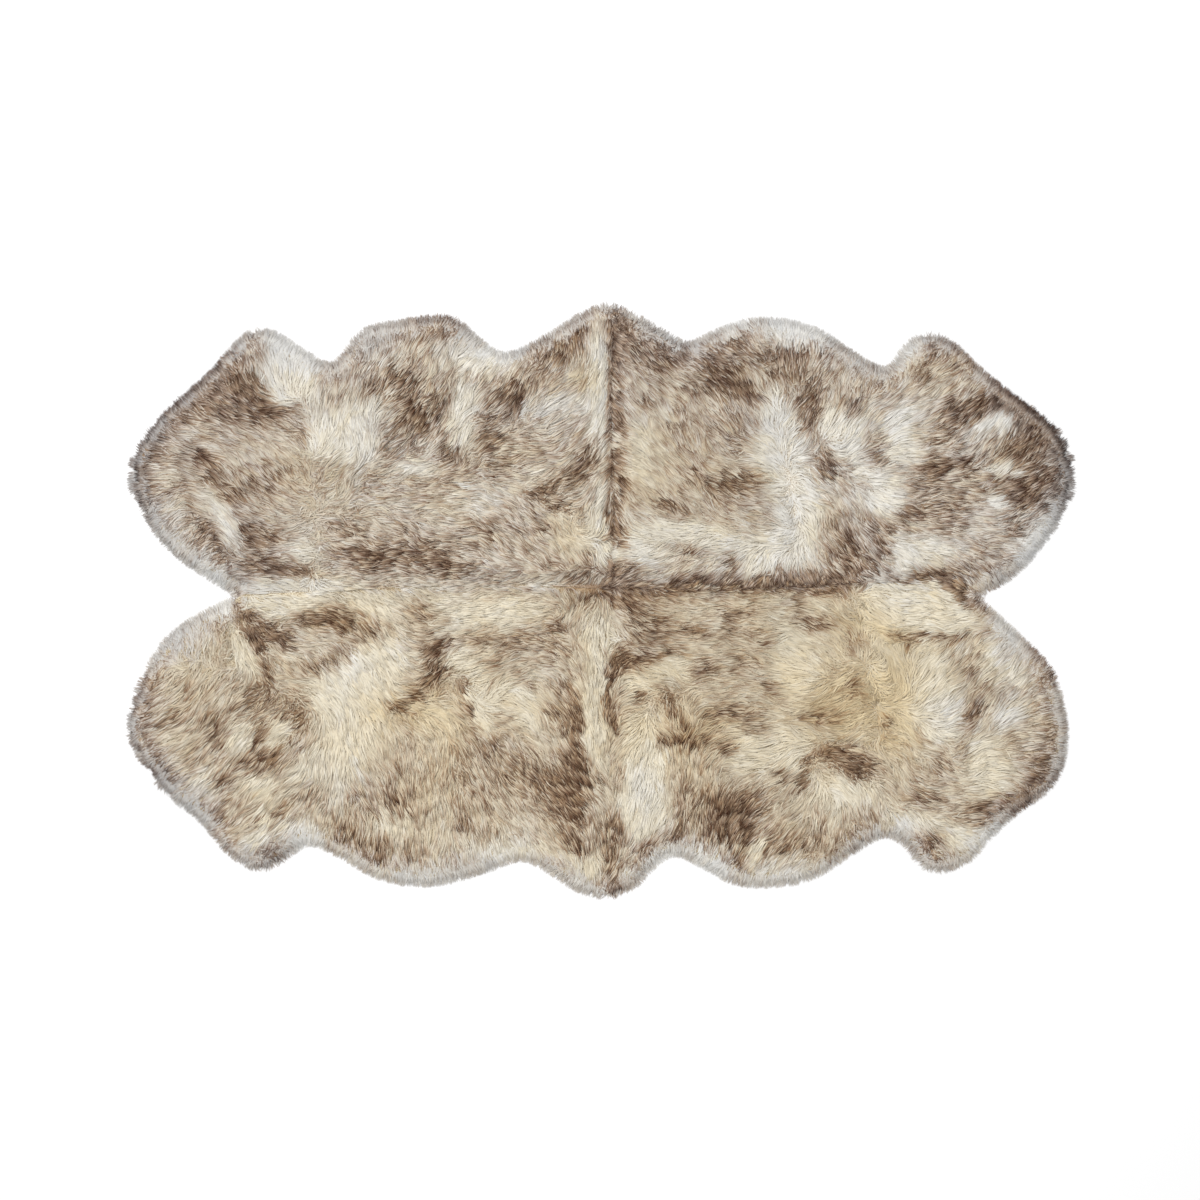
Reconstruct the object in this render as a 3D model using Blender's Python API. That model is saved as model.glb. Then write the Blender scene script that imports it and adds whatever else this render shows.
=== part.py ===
"""A rug of four wool-on sheepskins sewn edge to edge, lying flat with the wool up.

X runs along the rug, Y across it, and Z up. The origin is at the middle of its footprint on the floor.
Each pelt is a flat leather hide and, on it, a lumpy wool slab with locks around its free rim.
"""

from collections import namedtuple

import bmesh
import bpy
import numpy as np
from mathutils import Matrix, Vector, noise
from mathutils.geometry import delaunay_2d_cdt

HIDE_THICKNESS = 0.002
CLEARANCE = 0.0003  # between a hide and the wool above it
SEAM_GAP = 0.00035  # between neighbouring pelts, measured across the seam line
PILE = 0.054  # height of the wool's crown
RIM_HEIGHT = 0.011  # height of the slab where the locks leave it
RIM_ROLL = 0.062  # how far in from the rim the wool reaches its crown
SEAM_HEIGHT = 0.031  # height of the wool in a seam's valley
SEAM_ROLL = 0.040  # half width of that valley
LOCK_LENGTH = 0.017
LOCK_PITCH = 0.0168  # along the rim, for one lock and the space beside it
LOCK_SHARE = 0.80  # of that pitch, taken by the lock's root
LOCK_WANDER = 0.0012  # how far a lock strays along the rim from its even place
LOCK_LEAN = 0.0035  # how far a lock's tip may bend sideways
LOCK_UNEVEN = 0.10  # how far a lock's length strays from the even one, as a share of it
LOCK_SEED = 7
LOCK_WAIST = 0.86  # width half way along, as a share of the root's
LOCK_DROP = 0.68  # height half way along, as a share of the root's
NOTCH_CLEAR = 0.009  # no lock's tip comes nearer than this to the end of a seam
HIDE_INSET = 0.031  # from the wool's tips in to the leather's edge
RECESS_EASE = 0.0006  # from the leather's edge to the recess in the wool over it
RECESS_SLOPE = 0.0018  # width of that recess's sloping edge
RECESS_ALONG_SEAM = 0.0010  # the same ease, measured along a seam, which meets the edge aslant
LUMP_HEIGHT = 0.011
LUMP_SIZE = 0.085
TUFT_HEIGHT = 0.006
TUFT_SIZE = 0.046
GRID = 0.028  # spacing of the points that shape the wool's top
SEAM_PITCH = 0.030  # spacing of points along a seam
SEAM_ROW = 0.017  # from a seam to the next row of points, and their spacing along a fold
HIDE_PITCH = 0.018  # spacing of points along a hide's free edge
FINE_STEP = 0.004  # spacing of the points that an outline is moved inwards by
WOOL_ROUGHNESS = 0.9
HIDE_ROUGHNESS = 0.85
HIDE_COLOUR = (0.56, 0.44, 0.30)

Mark = namedtuple("Mark", "place x y")
Fold = namedtuple("Fold", "place x y to_x to_y half_width depth")
Row = namedtuple("Row", "depth pitch apart")

# Rows of points that follow the rim, where the wool's top curves most.
RIM_ROWS = [Row(0.009, 0.0168, 0.004), Row(0.025, 0.024, 0.011)]

CENTRE = Mark("where the seams cross", 0.025, 0.020)

# Each seam runs from the crossing out to the rim.
SEAMS = {
    "back": [
        CENTRE,
        Mark("bulge to the right", 0.025, 0.185),
        Mark("straight stretch", 0.020, 0.300),
        Mark("straight stretch", 0.021, 0.415),
        Mark("bend below the peak", 0.025, 0.490),
        Mark("back peak", 0.015, 0.570),
    ],
    "front": [
        CENTRE,
        Mark("straight stretch", 0.015, -0.075),
        Mark("bend to the left", 0.005, -0.195),
        Mark("bulge to the right", 0.020, -0.265),
        Mark("straight stretch", 0.020, -0.430),
        Mark("bend above the peak", 0.006, -0.485),
        Mark("front peak", 0.012, -0.572),
    ],
    "left": [
        CENTRE,
        Mark("slight rise", -0.185, 0.030),
        Mark("straight stretch", -0.375, 0.026),
        Mark("straight stretch", -0.565, 0.015),
        Mark("left notch", -0.695, 0.010),
    ],
    "right": [
        CENTRE,
        Mark("straight stretch", 0.265, 0.021),
        Mark("slight rise", 0.375, 0.025),
        Mark("slight rise", 0.510, 0.035),
        Mark("top of the rise", 0.620, 0.040),
        Mark("fall to the notch", 0.672, 0.021),
        Mark("right notch", 0.720, 0.005),
    ],
}

# Where the wool's tips reach, from the end of the cross seam round to the end of the long seam.
RIMS = {
    "back_left": [
        Mark("back peak", 0.015, 0.570),
        Mark("slope", -0.045, 0.540),
        Mark("slope", -0.110, 0.500),
        Mark("hollow of the rump", -0.180, 0.470),
        Mark("hollow of the rump", -0.230, 0.500),
        Mark("hind lobe", -0.280, 0.540),
        Mark("hind lobe", -0.375, 0.532),
        Mark("flank", -0.455, 0.512),
        Mark("cleft behind the foreleg", -0.507, 0.452),
        Mark("foreleg", -0.565, 0.480),
        Mark("foreleg", -0.625, 0.516),
        Mark("foreleg", -0.675, 0.505),
        Mark("shoulder", -0.745, 0.430),
        Mark("shoulder", -0.825, 0.360),
        Mark("neck", -0.875, 0.295),
        Mark("neck", -0.888, 0.225),
        Mark("neck", -0.865, 0.155),
        Mark("slope to the notch", -0.815, 0.090),
        Mark("slope to the notch", -0.750, 0.042),
        Mark("left notch", -0.695, 0.010),
    ],
    "front_left": [
        Mark("front peak", 0.012, -0.572),
        Mark("slope", -0.045, -0.552),
        Mark("slope", -0.105, -0.515),
        Mark("hollow of the rump", -0.150, -0.495),
        Mark("hind lobe", -0.225, -0.520),
        Mark("hind lobe", -0.320, -0.543),
        Mark("hind lobe", -0.415, -0.531),
        Mark("flank", -0.490, -0.491),
        Mark("dip behind the foreleg", -0.550, -0.466),
        Mark("foreleg", -0.595, -0.496),
        Mark("foreleg", -0.645, -0.516),
        Mark("foreleg", -0.703, -0.485),
        Mark("shoulder", -0.760, -0.420),
        Mark("shoulder", -0.830, -0.360),
        Mark("neck", -0.885, -0.280),
        Mark("neck", -0.899, -0.235),
        Mark("neck", -0.877, -0.165),
        Mark("neck", -0.855, -0.115),
        Mark("slope to the notch", -0.804, -0.051),
        Mark("left notch", -0.695, 0.010),
    ],
    "back_right": [
        Mark("back peak", 0.015, 0.570),
        Mark("slope", 0.075, 0.540),
        Mark("slope", 0.130, 0.508),
        Mark("hollow of the rump", 0.167, 0.490),
        Mark("hollow of the rump", 0.212, 0.510),
        Mark("hind lobe", 0.274, 0.533),
        Mark("hind lobe", 0.350, 0.533),
        Mark("flank", 0.418, 0.513),
        Mark("flank", 0.475, 0.475),
        Mark("cleft behind the foreleg", 0.540, 0.443),
        Mark("foreleg", 0.573, 0.486),
        Mark("foreleg", 0.621, 0.509),
        Mark("foreleg", 0.674, 0.486),
        Mark("shoulder", 0.725, 0.437),
        Mark("shoulder", 0.820, 0.364),
        Mark("neck", 0.872, 0.313),
        Mark("neck", 0.896, 0.240),
        Mark("neck", 0.885, 0.176),
        Mark("neck", 0.847, 0.110),
        Mark("slope to the notch", 0.787, 0.044),
        Mark("right notch", 0.720, 0.005),
    ],
    "front_right": [
        Mark("front peak", 0.012, -0.572),
        Mark("slope", 0.069, -0.545),
        Mark("slope", 0.110, -0.503),
        Mark("hollow of the rump", 0.146, -0.486),
        Mark("hind lobe", 0.198, -0.511),
        Mark("hind lobe", 0.260, -0.541),
        Mark("hind lobe", 0.349, -0.543),
        Mark("flank", 0.415, -0.524),
        Mark("flank", 0.477, -0.484),
        Mark("dip behind the foreleg", 0.535, -0.451),
        Mark("dip behind the foreleg", 0.571, -0.466),
        Mark("foreleg", 0.607, -0.511),
        Mark("foreleg", 0.650, -0.518),
        Mark("foreleg", 0.704, -0.494),
        Mark("shoulder", 0.738, -0.456),
        Mark("shoulder", 0.791, -0.405),
        Mark("neck", 0.859, -0.354),
        Mark("neck", 0.887, -0.274),
        Mark("neck", 0.878, -0.189),
        Mark("neck", 0.857, -0.129),
        Mark("slope to the notch", 0.802, -0.070),
        Mark("right notch", 0.720, 0.005),
    ],
}

# Partings and folds in the wool, each a soft trough between two points. One of negative depth swells.
FOLDS = [
    Fold("long parting, upper half", 0.320, 0.375, 0.350, 0.245, 0.020, 0.013),
    Fold("long parting, lower half", 0.350, 0.245, 0.375, 0.110, 0.020, 0.015),
    Fold("parting in the back left haunch", -0.275, 0.380, -0.320, 0.315, 0.014, 0.009),
    Fold("hollow of the back left foreleg", -0.590, 0.470, -0.585, 0.385, 0.030, 0.009),
    Fold("fold above the left notch", -0.655, 0.200, -0.620, 0.085, 0.013, 0.009),
    Fold("trough above the left flap", -0.600, 0.062, -0.500, 0.054, 0.014, 0.011),
    Fold("swell of the left flap", -0.640, 0.025, -0.530, -0.002, 0.024, -0.006),
    Fold("fold from the left notch, outer half", -0.690, 0.000, -0.662, -0.050, 0.012, 0.017),
    Fold("fold from the left notch, inner half", -0.662, -0.050, -0.628, -0.150, 0.014, 0.013),
    Fold("parting in the front left belly", -0.220, -0.150, -0.245, -0.235, 0.020, 0.011),
    Fold("hollow beside the cross seam", 0.095, -0.240, 0.090, -0.375, 0.030, 0.011),
    Fold("fold below the right notch", 0.545, -0.062, 0.690, -0.068, 0.012, 0.014),
    Fold("fold in the front right haunch", 0.365, -0.362, 0.425, -0.310, 0.015, 0.010),
]

PELTS = {
    "back_left": ("back", "left"),
    "back_right": ("back", "right"),
    "front_left": ("front", "left"),
    "front_right": ("front", "right"),
}
WOOL_COLOURS = {
    "back_left": (0.50, 0.42, 0.33),
    "back_right": (0.50, 0.42, 0.36),
    "front_left": (0.53, 0.45, 0.34),
    "front_right": (0.55, 0.47, 0.34),
}


def smooth_path(marks, steps=16):
    """Points along a curve that passes through the marks: a Catmull-Rom spline."""
    points = np.array([(mark.x, mark.y) for mark in marks])
    points = np.vstack([2 * points[0] - points[1], points, 2 * points[-1] - points[-2]])
    t = np.linspace(0, 1, steps, endpoint=False)[:, None]
    path = [
        0.5 * (2 * b + (c - a) * t + (2 * a - 5 * b + 4 * c - d) * t**2 + (3 * b - a - 3 * c + d) * t**3)
        for a, b, c, d in zip(points, points[1:], points[2:], points[3:])
    ]
    return np.vstack([*path, points[-2:-1]])


def along(path):
    """Distance run from the path's start to each of its points."""
    return np.concatenate([[0], np.cumsum(np.linalg.norm(np.diff(path, axis=0), axis=1))])


def points_at(path, distances):
    run = along(path)
    return np.column_stack([np.interp(distances, run, path[:, axis]) for axis in (0, 1)])


def respaced(path, pitch):
    """The path in equal steps near the pitch."""
    count = max(2, round(along(path)[-1] / pitch))
    return points_at(path, np.linspace(0, along(path)[-1], count + 1))


def lock_spaced(path):
    """The path in unequal steps: a wide one for each lock's root, with a narrow one on each side."""
    length = along(path)[-1]
    count = round(length / LOCK_PITCH)
    middles = (np.arange(count) + 0.5) * length / count
    middles[1:-1] += LOCK_WANDER * np.sin(2.7 * np.arange(1, count - 1) ** 1.3)
    half = LOCK_SHARE * LOCK_PITCH / 2
    steps = np.column_stack([middles - half, middles + half]).ravel()
    return points_at(path, np.concatenate([[0], steps, [length]]))


def nearest_on(path, points):
    """For each point, its distance to the path and how far along the path the nearest spot is."""
    start, run = path[:-1], np.diff(path, axis=0)
    offset = points[:, None, :] - start[None]
    share = np.clip((offset * run).sum(axis=2) / (run**2).sum(axis=1), 0, 1)
    away = np.linalg.norm(offset - share[..., None] * run, axis=2)
    best = away.argmin(axis=1)
    rows = np.arange(len(points))
    reached = along(path)[best] + share[rows, best] * np.linalg.norm(run[best], axis=1)
    return away[rows, best], reached


def distance_to(path, points):
    return nearest_on(path, points)[0]


def inside(loop, points):
    """Whether each point is inside the closed loop, by counting the edges that a ray to +X crosses."""
    a, b = loop, np.roll(loop, -1, axis=0)
    x, y = points[:, :1], points[:, 1:]
    spans = (a[:, 1] > y) != (b[:, 1] > y)
    rise = np.where(a[:, 1] == b[:, 1], 1, b[:, 1] - a[:, 1])
    crossing = a[:, 0] + (y - a[:, 1]) * (b[:, 0] - a[:, 0]) / rise
    return (spans & (x < crossing)).sum(axis=1) % 2 == 1


def outward_normals(path):
    """Unit normals to the right of the path's direction, which is outwards on an anticlockwise rim."""
    tangent = np.gradient(path, axis=0)
    tangent /= np.linalg.norm(tangent, axis=1)[:, None]
    return np.column_stack([tangent[:, 1], -tangent[:, 0]])


def inset_path(rim, seams, loop, inset):
    """The rim moved inwards, from where one seam is that deep inside it to where the other seam is."""
    fine = respaced(rim, FINE_STEP)
    moved = fine - outward_normals(fine) * inset
    clear = inside(loop, moved) & (distance_to(rim, moved) > 0.98 * inset)
    for seam in seams:
        clear &= distance_to(seam, moved) > 0.4 * inset
    ends = []
    for seam in seams:
        spots = respaced(seam, FINE_STEP / 4)
        ends.append(spots[np.argmax(distance_to(rim, spots) < inset)])
    return np.vstack([ends[0], moved[clear], ends[1]])


def seam_to(seam, end, beyond=()):
    """The seam's points from the crossing to its spot nearest the end, then those that far beyond it."""
    run = along(seam)
    at_end = nearest_on(seam, end[None])[1][0]
    knots = run[run < at_end - 0.4 * SEAM_PITCH]
    return points_at(seam, np.concatenate([knots, [at_end], at_end + np.array(beyond)]))


class Pelt:
    """The plan of one pelt: its two seams, its rim of wool, its leather's edge, and its closed loops."""

    def __init__(self, name):
        along_y, along_x = PELTS[name]
        side = 1 if along_x == "right" else -1
        back = 1 if along_y == "back" else -1
        cross = respaced(smooth_path(SEAMS[along_y]), SEAM_PITCH) + (side * SEAM_GAP / 2, 0)
        long = respaced(smooth_path(SEAMS[along_x]), SEAM_PITCH) + (0, back * SEAM_GAP / 2)
        cross[0] = long[0] = cross[0] + (0, back * SEAM_GAP / 2)
        tips = smooth_path(RIMS[name])
        tips[0], tips[-1] = cross[-1], long[-1]
        self.name = name
        self.seams = [cross, long]
        if side * back > 0:  # so that every loop runs anticlockwise
            self.seams.reverse()
            tips = tips[::-1]
        loop = np.vstack([self.seams[0], tips[1:-1], self.seams[1][::-1][:-1]])
        self.rim = lock_spaced(inset_path(tips, self.seams, loop, LOCK_LENGTH))
        self.edge = respaced(inset_path(tips, self.seams, loop, HIDE_INSET), HIDE_PITCH)

    def hide_loop(self):
        first, second = (seam_to(seam, end) for seam, end in zip(self.seams, self.edge[[0, -1]]))
        return np.vstack([first[:-1], self.edge, second[::-1][1:-1]])

    def recess(self):
        """The top and the foot of the recess's sloping edge, without the ends that the loop holds."""
        normals = outward_normals(self.edge)
        top = self.edge + normals * RECESS_EASE
        foot = self.edge + normals * (RECESS_EASE + RECESS_SLOPE)
        return top[1:-1], foot[1:-1]

    def fleece_loop(self):
        """The slab's outline, the index where its rim starts, and which of its points are on the floor."""
        at_recess = RECESS_ALONG_SEAM, RECESS_ALONG_SEAM + 1.4 * RECESS_SLOPE
        first, second = (
            np.vstack([seam_to(seam, edge_end, at_recess), rim_end])
            for seam, edge_end, rim_end in zip(self.seams, self.edge[[0, -1]], self.rim[[0, -1]])
        )
        loop = np.vstack([first[:-1], self.rim, second[::-1][1:-1]])
        rim_start = len(first) - 1
        on_floor = np.zeros(len(loop), bool)
        on_floor[rim_start - 1 : rim_start + len(self.rim) + 1] = True
        return loop, rim_start, on_floor


def fold_line(fold):
    return np.array([(fold.x, fold.y), (fold.to_x, fold.to_y)])


def noise_over(points, size, layer):
    """Smooth noise, about -1 to 1, whose swells are as wide as the size."""
    return np.array([noise.noise(Vector((x / size, y / size, layer))) for x, y in points])


def wool_height(pelt, points):
    """Height of the wool's top: a crown that rolls down at the rim and dips at seams and folds."""
    to_rim = np.clip(distance_to(pelt.rim, points) / RIM_ROLL, 0, 1)
    roll = np.sqrt(1 - (1 - to_rim) ** 2)
    to_seam = np.minimum(*(distance_to(seam, points) for seam in pelt.seams))
    valley = 0.5 + 0.5 * np.cos(np.pi * np.clip(to_seam / SEAM_ROLL, 0, 1))
    dips = np.array([
        fold.depth * np.exp(-((distance_to(fold_line(fold), points) / fold.half_width) ** 2)) for fold in FOLDS
    ])
    fold_dip = dips.clip(0).max(axis=0) + dips.clip(None, 0).min(axis=0)
    relief = LUMP_HEIGHT * noise_over(points, LUMP_SIZE, 0) + TUFT_HEIGHT * noise_over(points, TUFT_SIZE, 1)
    crown = PILE - RIM_HEIGHT - (PILE - SEAM_HEIGHT) * valley - fold_dip + relief * (1 - 0.6 * valley)
    return RIM_HEIGHT + crown * roll


def grid_over(loop):
    """An even triangular grid over the loop's box."""
    low, high = loop.min(axis=0), loop.max(axis=0)
    x, y = np.meshgrid(np.arange(low[0], high[0], GRID), np.arange(low[1], high[1], GRID * np.sqrt(0.75)))
    x[1::2] += GRID / 2
    return np.column_stack([x.ravel(), y.ravel()])


def top_points(pelt, loop):
    """Points inside the outline: rows along the rim, seams and folds, then an even grid between them."""
    rows = []
    for row in RIM_ROWS:
        line = respaced(inset_path(pelt.rim, pelt.seams, loop, row.depth), row.pitch)
        rows.append((line, row.apart))
    for seam in pelt.seams:
        for away in (SEAM_ROW, -SEAM_ROW):
            rows.append((seam + outward_normals(seam) * away, SEAM_ROW * 0.8))
    for fold in FOLDS:
        rows.append((respaced(fold_line(fold), SEAM_ROW), SEAM_ROW * 0.8))
    rows.append((grid_over(loop), GRID * 0.72))
    closed = np.vstack([loop, loop[:1]])
    kept = np.empty((0, 2))
    for points, apart in rows:
        points = points[inside(loop, points)]
        points = points[distance_to(closed, points) > min(apart, RIM_ROWS[1].apart)]
        if len(kept) and len(points):
            points = points[np.linalg.norm(points[:, None] - kept[None], axis=2).min(axis=1) > apart]
        kept = np.vstack([kept, points])
    return kept


def triangles(loop, extra, lines=()):
    """Triangles over the loop and the extra points, with the lines kept as edges."""
    points = [Vector(point) for point in np.vstack([loop, extra]).tolist()]
    edges = [(a, b) for line in lines for a, b in zip(line, line[1:])]
    found = delaunay_2d_cdt(points, edges, [list(range(len(loop)))], 1, 1e-7)
    own = [sources[0] for sources in found[3]]
    return [[own[corner] for corner in face] for face in found[2]]


def slab_mesh(pelt):
    """A mesh of the wool slab without its locks, and the indices of the wall faces that carry them."""
    loop, rim_start, on_floor = pelt.fleece_loop()
    count = len(loop)
    top_plan = np.vstack([loop, top_points(pelt, loop)])
    recess_top, recess_foot = pelt.recess()
    under_plan = np.vstack([loop, recess_top, recess_foot])
    over_hide = HIDE_THICKNESS + CLEARANCE
    under_height = np.concatenate([
        np.where(on_floor, 0, over_hide),
        np.full(len(recess_top), over_hide),
        np.zeros(len(recess_foot)),
    ])
    rim_end = rim_start + len(pelt.rim) - 1
    top_line = [rim_start - 2, *range(count, count + len(recess_top)), rim_end + 2]
    foot_line = [rim_start - 1, *range(count + len(recess_top), len(under_plan)), rim_end + 1]
    base = len(top_plan)
    upper = triangles(loop, top_plan[count:])
    lower = triangles(loop, under_plan[count:], (top_line, foot_line))
    walls = [[base + i, base + (i + 1) % count, (i + 1) % count, i] for i in range(count)]
    verts = np.vstack([
        np.column_stack([top_plan, wool_height(pelt, top_plan)]),
        np.column_stack([under_plan, under_height]),
    ])
    mesh = bpy.data.meshes.new("fleece_" + pelt.name)
    mesh.from_pydata(verts.tolist(), [], walls + upper + [[base + i for i in face[::-1]] for face in lower])
    return mesh, range(rim_start + 1, rim_end, 2)


def raise_lock(bm, face, seam_ends, rng):
    """Draws a tapered, slightly bent lock out of a wall face, its underside level on the floor."""
    outward = face.normal.copy()
    outward.z = 0
    outward.normalize()
    sideways = Vector((-outward.y, outward.x, 0))
    root = face.calc_center_median()
    root.z = 0
    reach = outward * LOCK_LENGTH * (1 + LOCK_UNEVEN * rng.uniform(-1, 1))
    lean = sideways * LOCK_LEAN * rng.uniform(-1, 1)
    tip = root + reach + lean
    if min((tip - seam_end).length for seam_end in seam_ends) < NOTCH_CLEAR:
        return
    middle = bmesh.ops.extrude_discrete_faces(bm, faces=[face])["faces"][0]
    for vert in middle.verts:
        across = (vert.co - root).dot(sideways) * LOCK_WAIST
        height = vert.co.z * LOCK_DROP
        vert.co = root + reach / 2 + lean / 3 + sideways * across
        vert.co.z = height
    bmesh.ops.poke(bm, faces=[middle])["verts"][0].co = tip


def object_from(mesh, colour, roughness):
    material = bpy.data.materials.new(mesh.name)
    material.use_nodes = True
    shader = material.node_tree.nodes["Principled BSDF"]
    shader.inputs["Base Color"].default_value = (*colour, 1)
    shader.inputs["Roughness"].default_value = roughness
    shader.inputs["Metallic"].default_value = 0
    mesh.materials.append(material)
    obj = bpy.data.objects.new(mesh.name, mesh)
    bpy.context.scene.collection.objects.link(obj)
    return obj


def make_fleece(pelt):
    """The wool: a slab with a lumpy top, an underside that drops round the leather, and locks."""
    mesh, lock_faces = slab_mesh(pelt)
    bm = bmesh.new()
    bm.from_mesh(mesh)
    bm.normal_update()
    bm.faces.ensure_lookup_table()
    seam_ends = [Vector((*seam[-1], 0)) for seam in pelt.seams]
    rng = np.random.default_rng(LOCK_SEED)
    for face in [bm.faces[i] for i in lock_faces]:
        raise_lock(bm, face, seam_ends, rng)
    bm.to_mesh(mesh)
    bm.free()
    mesh.shade_smooth()
    return object_from(mesh, WOOL_COLOURS[pelt.name], WOOL_ROUGHNESS)


def make_hide(pelt):
    """The leather: the hide's outline, raised to its thickness."""
    bm = bmesh.new()
    floor = bm.faces.new([bm.verts.new((x, y, 0)) for x, y in pelt.hide_loop()])
    raised = bmesh.ops.extrude_face_region(bm, geom=[floor])["geom"]
    for vert in (item for item in raised if isinstance(item, bmesh.types.BMVert)):
        vert.co.z = HIDE_THICKNESS
    bmesh.ops.recalc_face_normals(bm, faces=bm.faces)
    mesh = bpy.data.meshes.new("hide_" + pelt.name)
    bm.to_mesh(mesh)
    bm.free()
    return object_from(mesh, HIDE_COLOUR, HIDE_ROUGHNESS)


def centre_on_origin(objects):
    """Moves the meshes so that the middle of the footprint is at the origin."""
    plan = np.array([vert.co[:2] for obj in objects for vert in obj.data.vertices])
    middle = (plan.min(axis=0) + plan.max(axis=0)) / 2
    for obj in objects:
        obj.data.transform(Matrix.Translation((-middle[0], -middle[1], 0)))


def main():
    for obj in list(bpy.data.objects):
        bpy.data.objects.remove(obj)
    made = []
    for name in PELTS:
        pelt = Pelt(name)
        made += [make_hide(pelt), make_fleece(pelt)]
    centre_on_origin(made)


main()
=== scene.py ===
import bpy
import numpy as np
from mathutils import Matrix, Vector, noise


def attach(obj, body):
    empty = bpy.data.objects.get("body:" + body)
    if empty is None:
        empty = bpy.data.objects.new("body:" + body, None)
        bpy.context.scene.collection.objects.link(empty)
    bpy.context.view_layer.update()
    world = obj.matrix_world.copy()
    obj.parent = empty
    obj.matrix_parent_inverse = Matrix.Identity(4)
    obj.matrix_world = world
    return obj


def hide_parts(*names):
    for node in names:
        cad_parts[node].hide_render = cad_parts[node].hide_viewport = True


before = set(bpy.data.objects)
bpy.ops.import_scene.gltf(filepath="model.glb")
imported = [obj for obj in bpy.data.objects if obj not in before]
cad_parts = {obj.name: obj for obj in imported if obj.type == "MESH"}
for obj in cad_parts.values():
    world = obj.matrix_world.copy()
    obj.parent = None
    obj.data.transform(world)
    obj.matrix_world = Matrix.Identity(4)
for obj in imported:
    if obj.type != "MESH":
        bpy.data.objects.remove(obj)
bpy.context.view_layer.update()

# A rug of four wool-on sheepskins, lying flat with its wool up. Metres, +Z up, +Y to the back pelts.
# The tables of marks are in metres, and those of tone and lie in centimetres, from the same origin.
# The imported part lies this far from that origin.
packedShift = np.array([0.0002, 0.0025])
pelts = ["back_left", "back_right", "front_left", "front_right"]

# The two seams, from where they cross out to the rim.
crossing = (0.025, 0.020)
seamMarks = {
    "back": [crossing, (0.025, 0.185), (0.020, 0.300), (0.021, 0.415), (0.025, 0.490), (0.015, 0.570)],
    "front": [crossing, (0.015, -0.075), (0.005, -0.195), (0.020, -0.265), (0.020, -0.430),
              (0.006, -0.485), (0.012, -0.572)],
    "left": [crossing, (-0.185, 0.030), (-0.375, 0.026), (-0.565, 0.015), (-0.695, 0.010)],
    "right": [crossing, (0.265, 0.021), (0.375, 0.025), (0.510, 0.035), (0.620, 0.040),
              (0.672, 0.021), (0.720, 0.005)],
}

# Where the wool's tips reach, from the end of the cross seam round to the end of the long seam.
rimMarks = {
    "back_left": [
        (0.015, 0.570), (-0.045, 0.540), (-0.110, 0.500), (-0.180, 0.470), (-0.230, 0.500),
        (-0.280, 0.540), (-0.375, 0.532), (-0.455, 0.512), (-0.507, 0.452), (-0.565, 0.480),
        (-0.625, 0.516), (-0.675, 0.505), (-0.745, 0.430), (-0.825, 0.360), (-0.875, 0.295),
        (-0.888, 0.225), (-0.865, 0.155), (-0.815, 0.090), (-0.750, 0.042), (-0.695, 0.010),
    ],
    "front_left": [
        (0.012, -0.572), (-0.045, -0.552), (-0.105, -0.515), (-0.150, -0.495), (-0.225, -0.520),
        (-0.320, -0.543), (-0.415, -0.531), (-0.490, -0.491), (-0.550, -0.466), (-0.595, -0.496),
        (-0.645, -0.516), (-0.703, -0.485), (-0.760, -0.420), (-0.830, -0.360), (-0.885, -0.280),
        (-0.899, -0.235), (-0.877, -0.165), (-0.855, -0.115), (-0.804, -0.051), (-0.695, 0.010),
    ],
    "back_right": [
        (0.015, 0.570), (0.075, 0.540), (0.130, 0.508), (0.167, 0.490), (0.212, 0.510), (0.274, 0.533),
        (0.350, 0.533), (0.418, 0.513), (0.475, 0.475), (0.540, 0.443), (0.573, 0.486), (0.621, 0.509),
        (0.674, 0.486), (0.725, 0.437), (0.820, 0.364), (0.872, 0.313), (0.896, 0.240), (0.885, 0.176),
        (0.847, 0.110), (0.787, 0.044), (0.720, 0.005),
    ],
    "front_right": [
        (0.012, -0.572), (0.069, -0.545), (0.110, -0.503), (0.146, -0.486), (0.198, -0.511),
        (0.260, -0.541), (0.349, -0.543), (0.415, -0.524), (0.477, -0.484), (0.535, -0.451),
        (0.571, -0.466), (0.607, -0.511), (0.650, -0.518), (0.704, -0.494), (0.738, -0.456),
        (0.791, -0.405), (0.859, -0.354), (0.887, -0.274), (0.878, -0.189), (0.857, -0.129),
        (0.802, -0.070), (0.720, 0.005),
    ],
}

# Soft troughs between two points: x, y, to x, to y, half width, depth. One of negative depth swells.
foldMarks = [
    (0.320, 0.375, 0.350, 0.245, 0.020, 0.006),  # long parting, upper half
    (0.350, 0.245, 0.375, 0.110, 0.020, 0.007),  # long parting, lower half
    (-0.275, 0.380, -0.320, 0.315, 0.014, 0.009),  # parting in the back left haunch
    (-0.590, 0.470, -0.585, 0.385, 0.030, 0.009),  # hollow of the back left foreleg
    (-0.655, 0.200, -0.620, 0.085, 0.013, 0.009),  # fold above the left notch
    (-0.600, 0.062, -0.500, 0.054, 0.014, 0.011),  # trough above the left flap
    (-0.640, 0.025, -0.530, -0.002, 0.024, -0.006),  # swell of the left flap
    (-0.690, 0.000, -0.662, -0.050, 0.012, 0.017),  # fold from the left notch, outer half
    (-0.662, -0.050, -0.628, -0.150, 0.014, 0.013),  # fold from the left notch, inner half
    (-0.220, -0.150, -0.245, -0.235, 0.020, 0.011),  # parting in the front left belly
    (0.095, -0.240, 0.090, -0.375, 0.030, 0.011),  # hollow beside the cross seam
    (0.545, -0.062, 0.690, -0.068, 0.012, 0.014),  # fold below the right notch
    (0.365, -0.362, 0.425, -0.310, 0.015, 0.010),  # fold in the front right haunch
]

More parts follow.
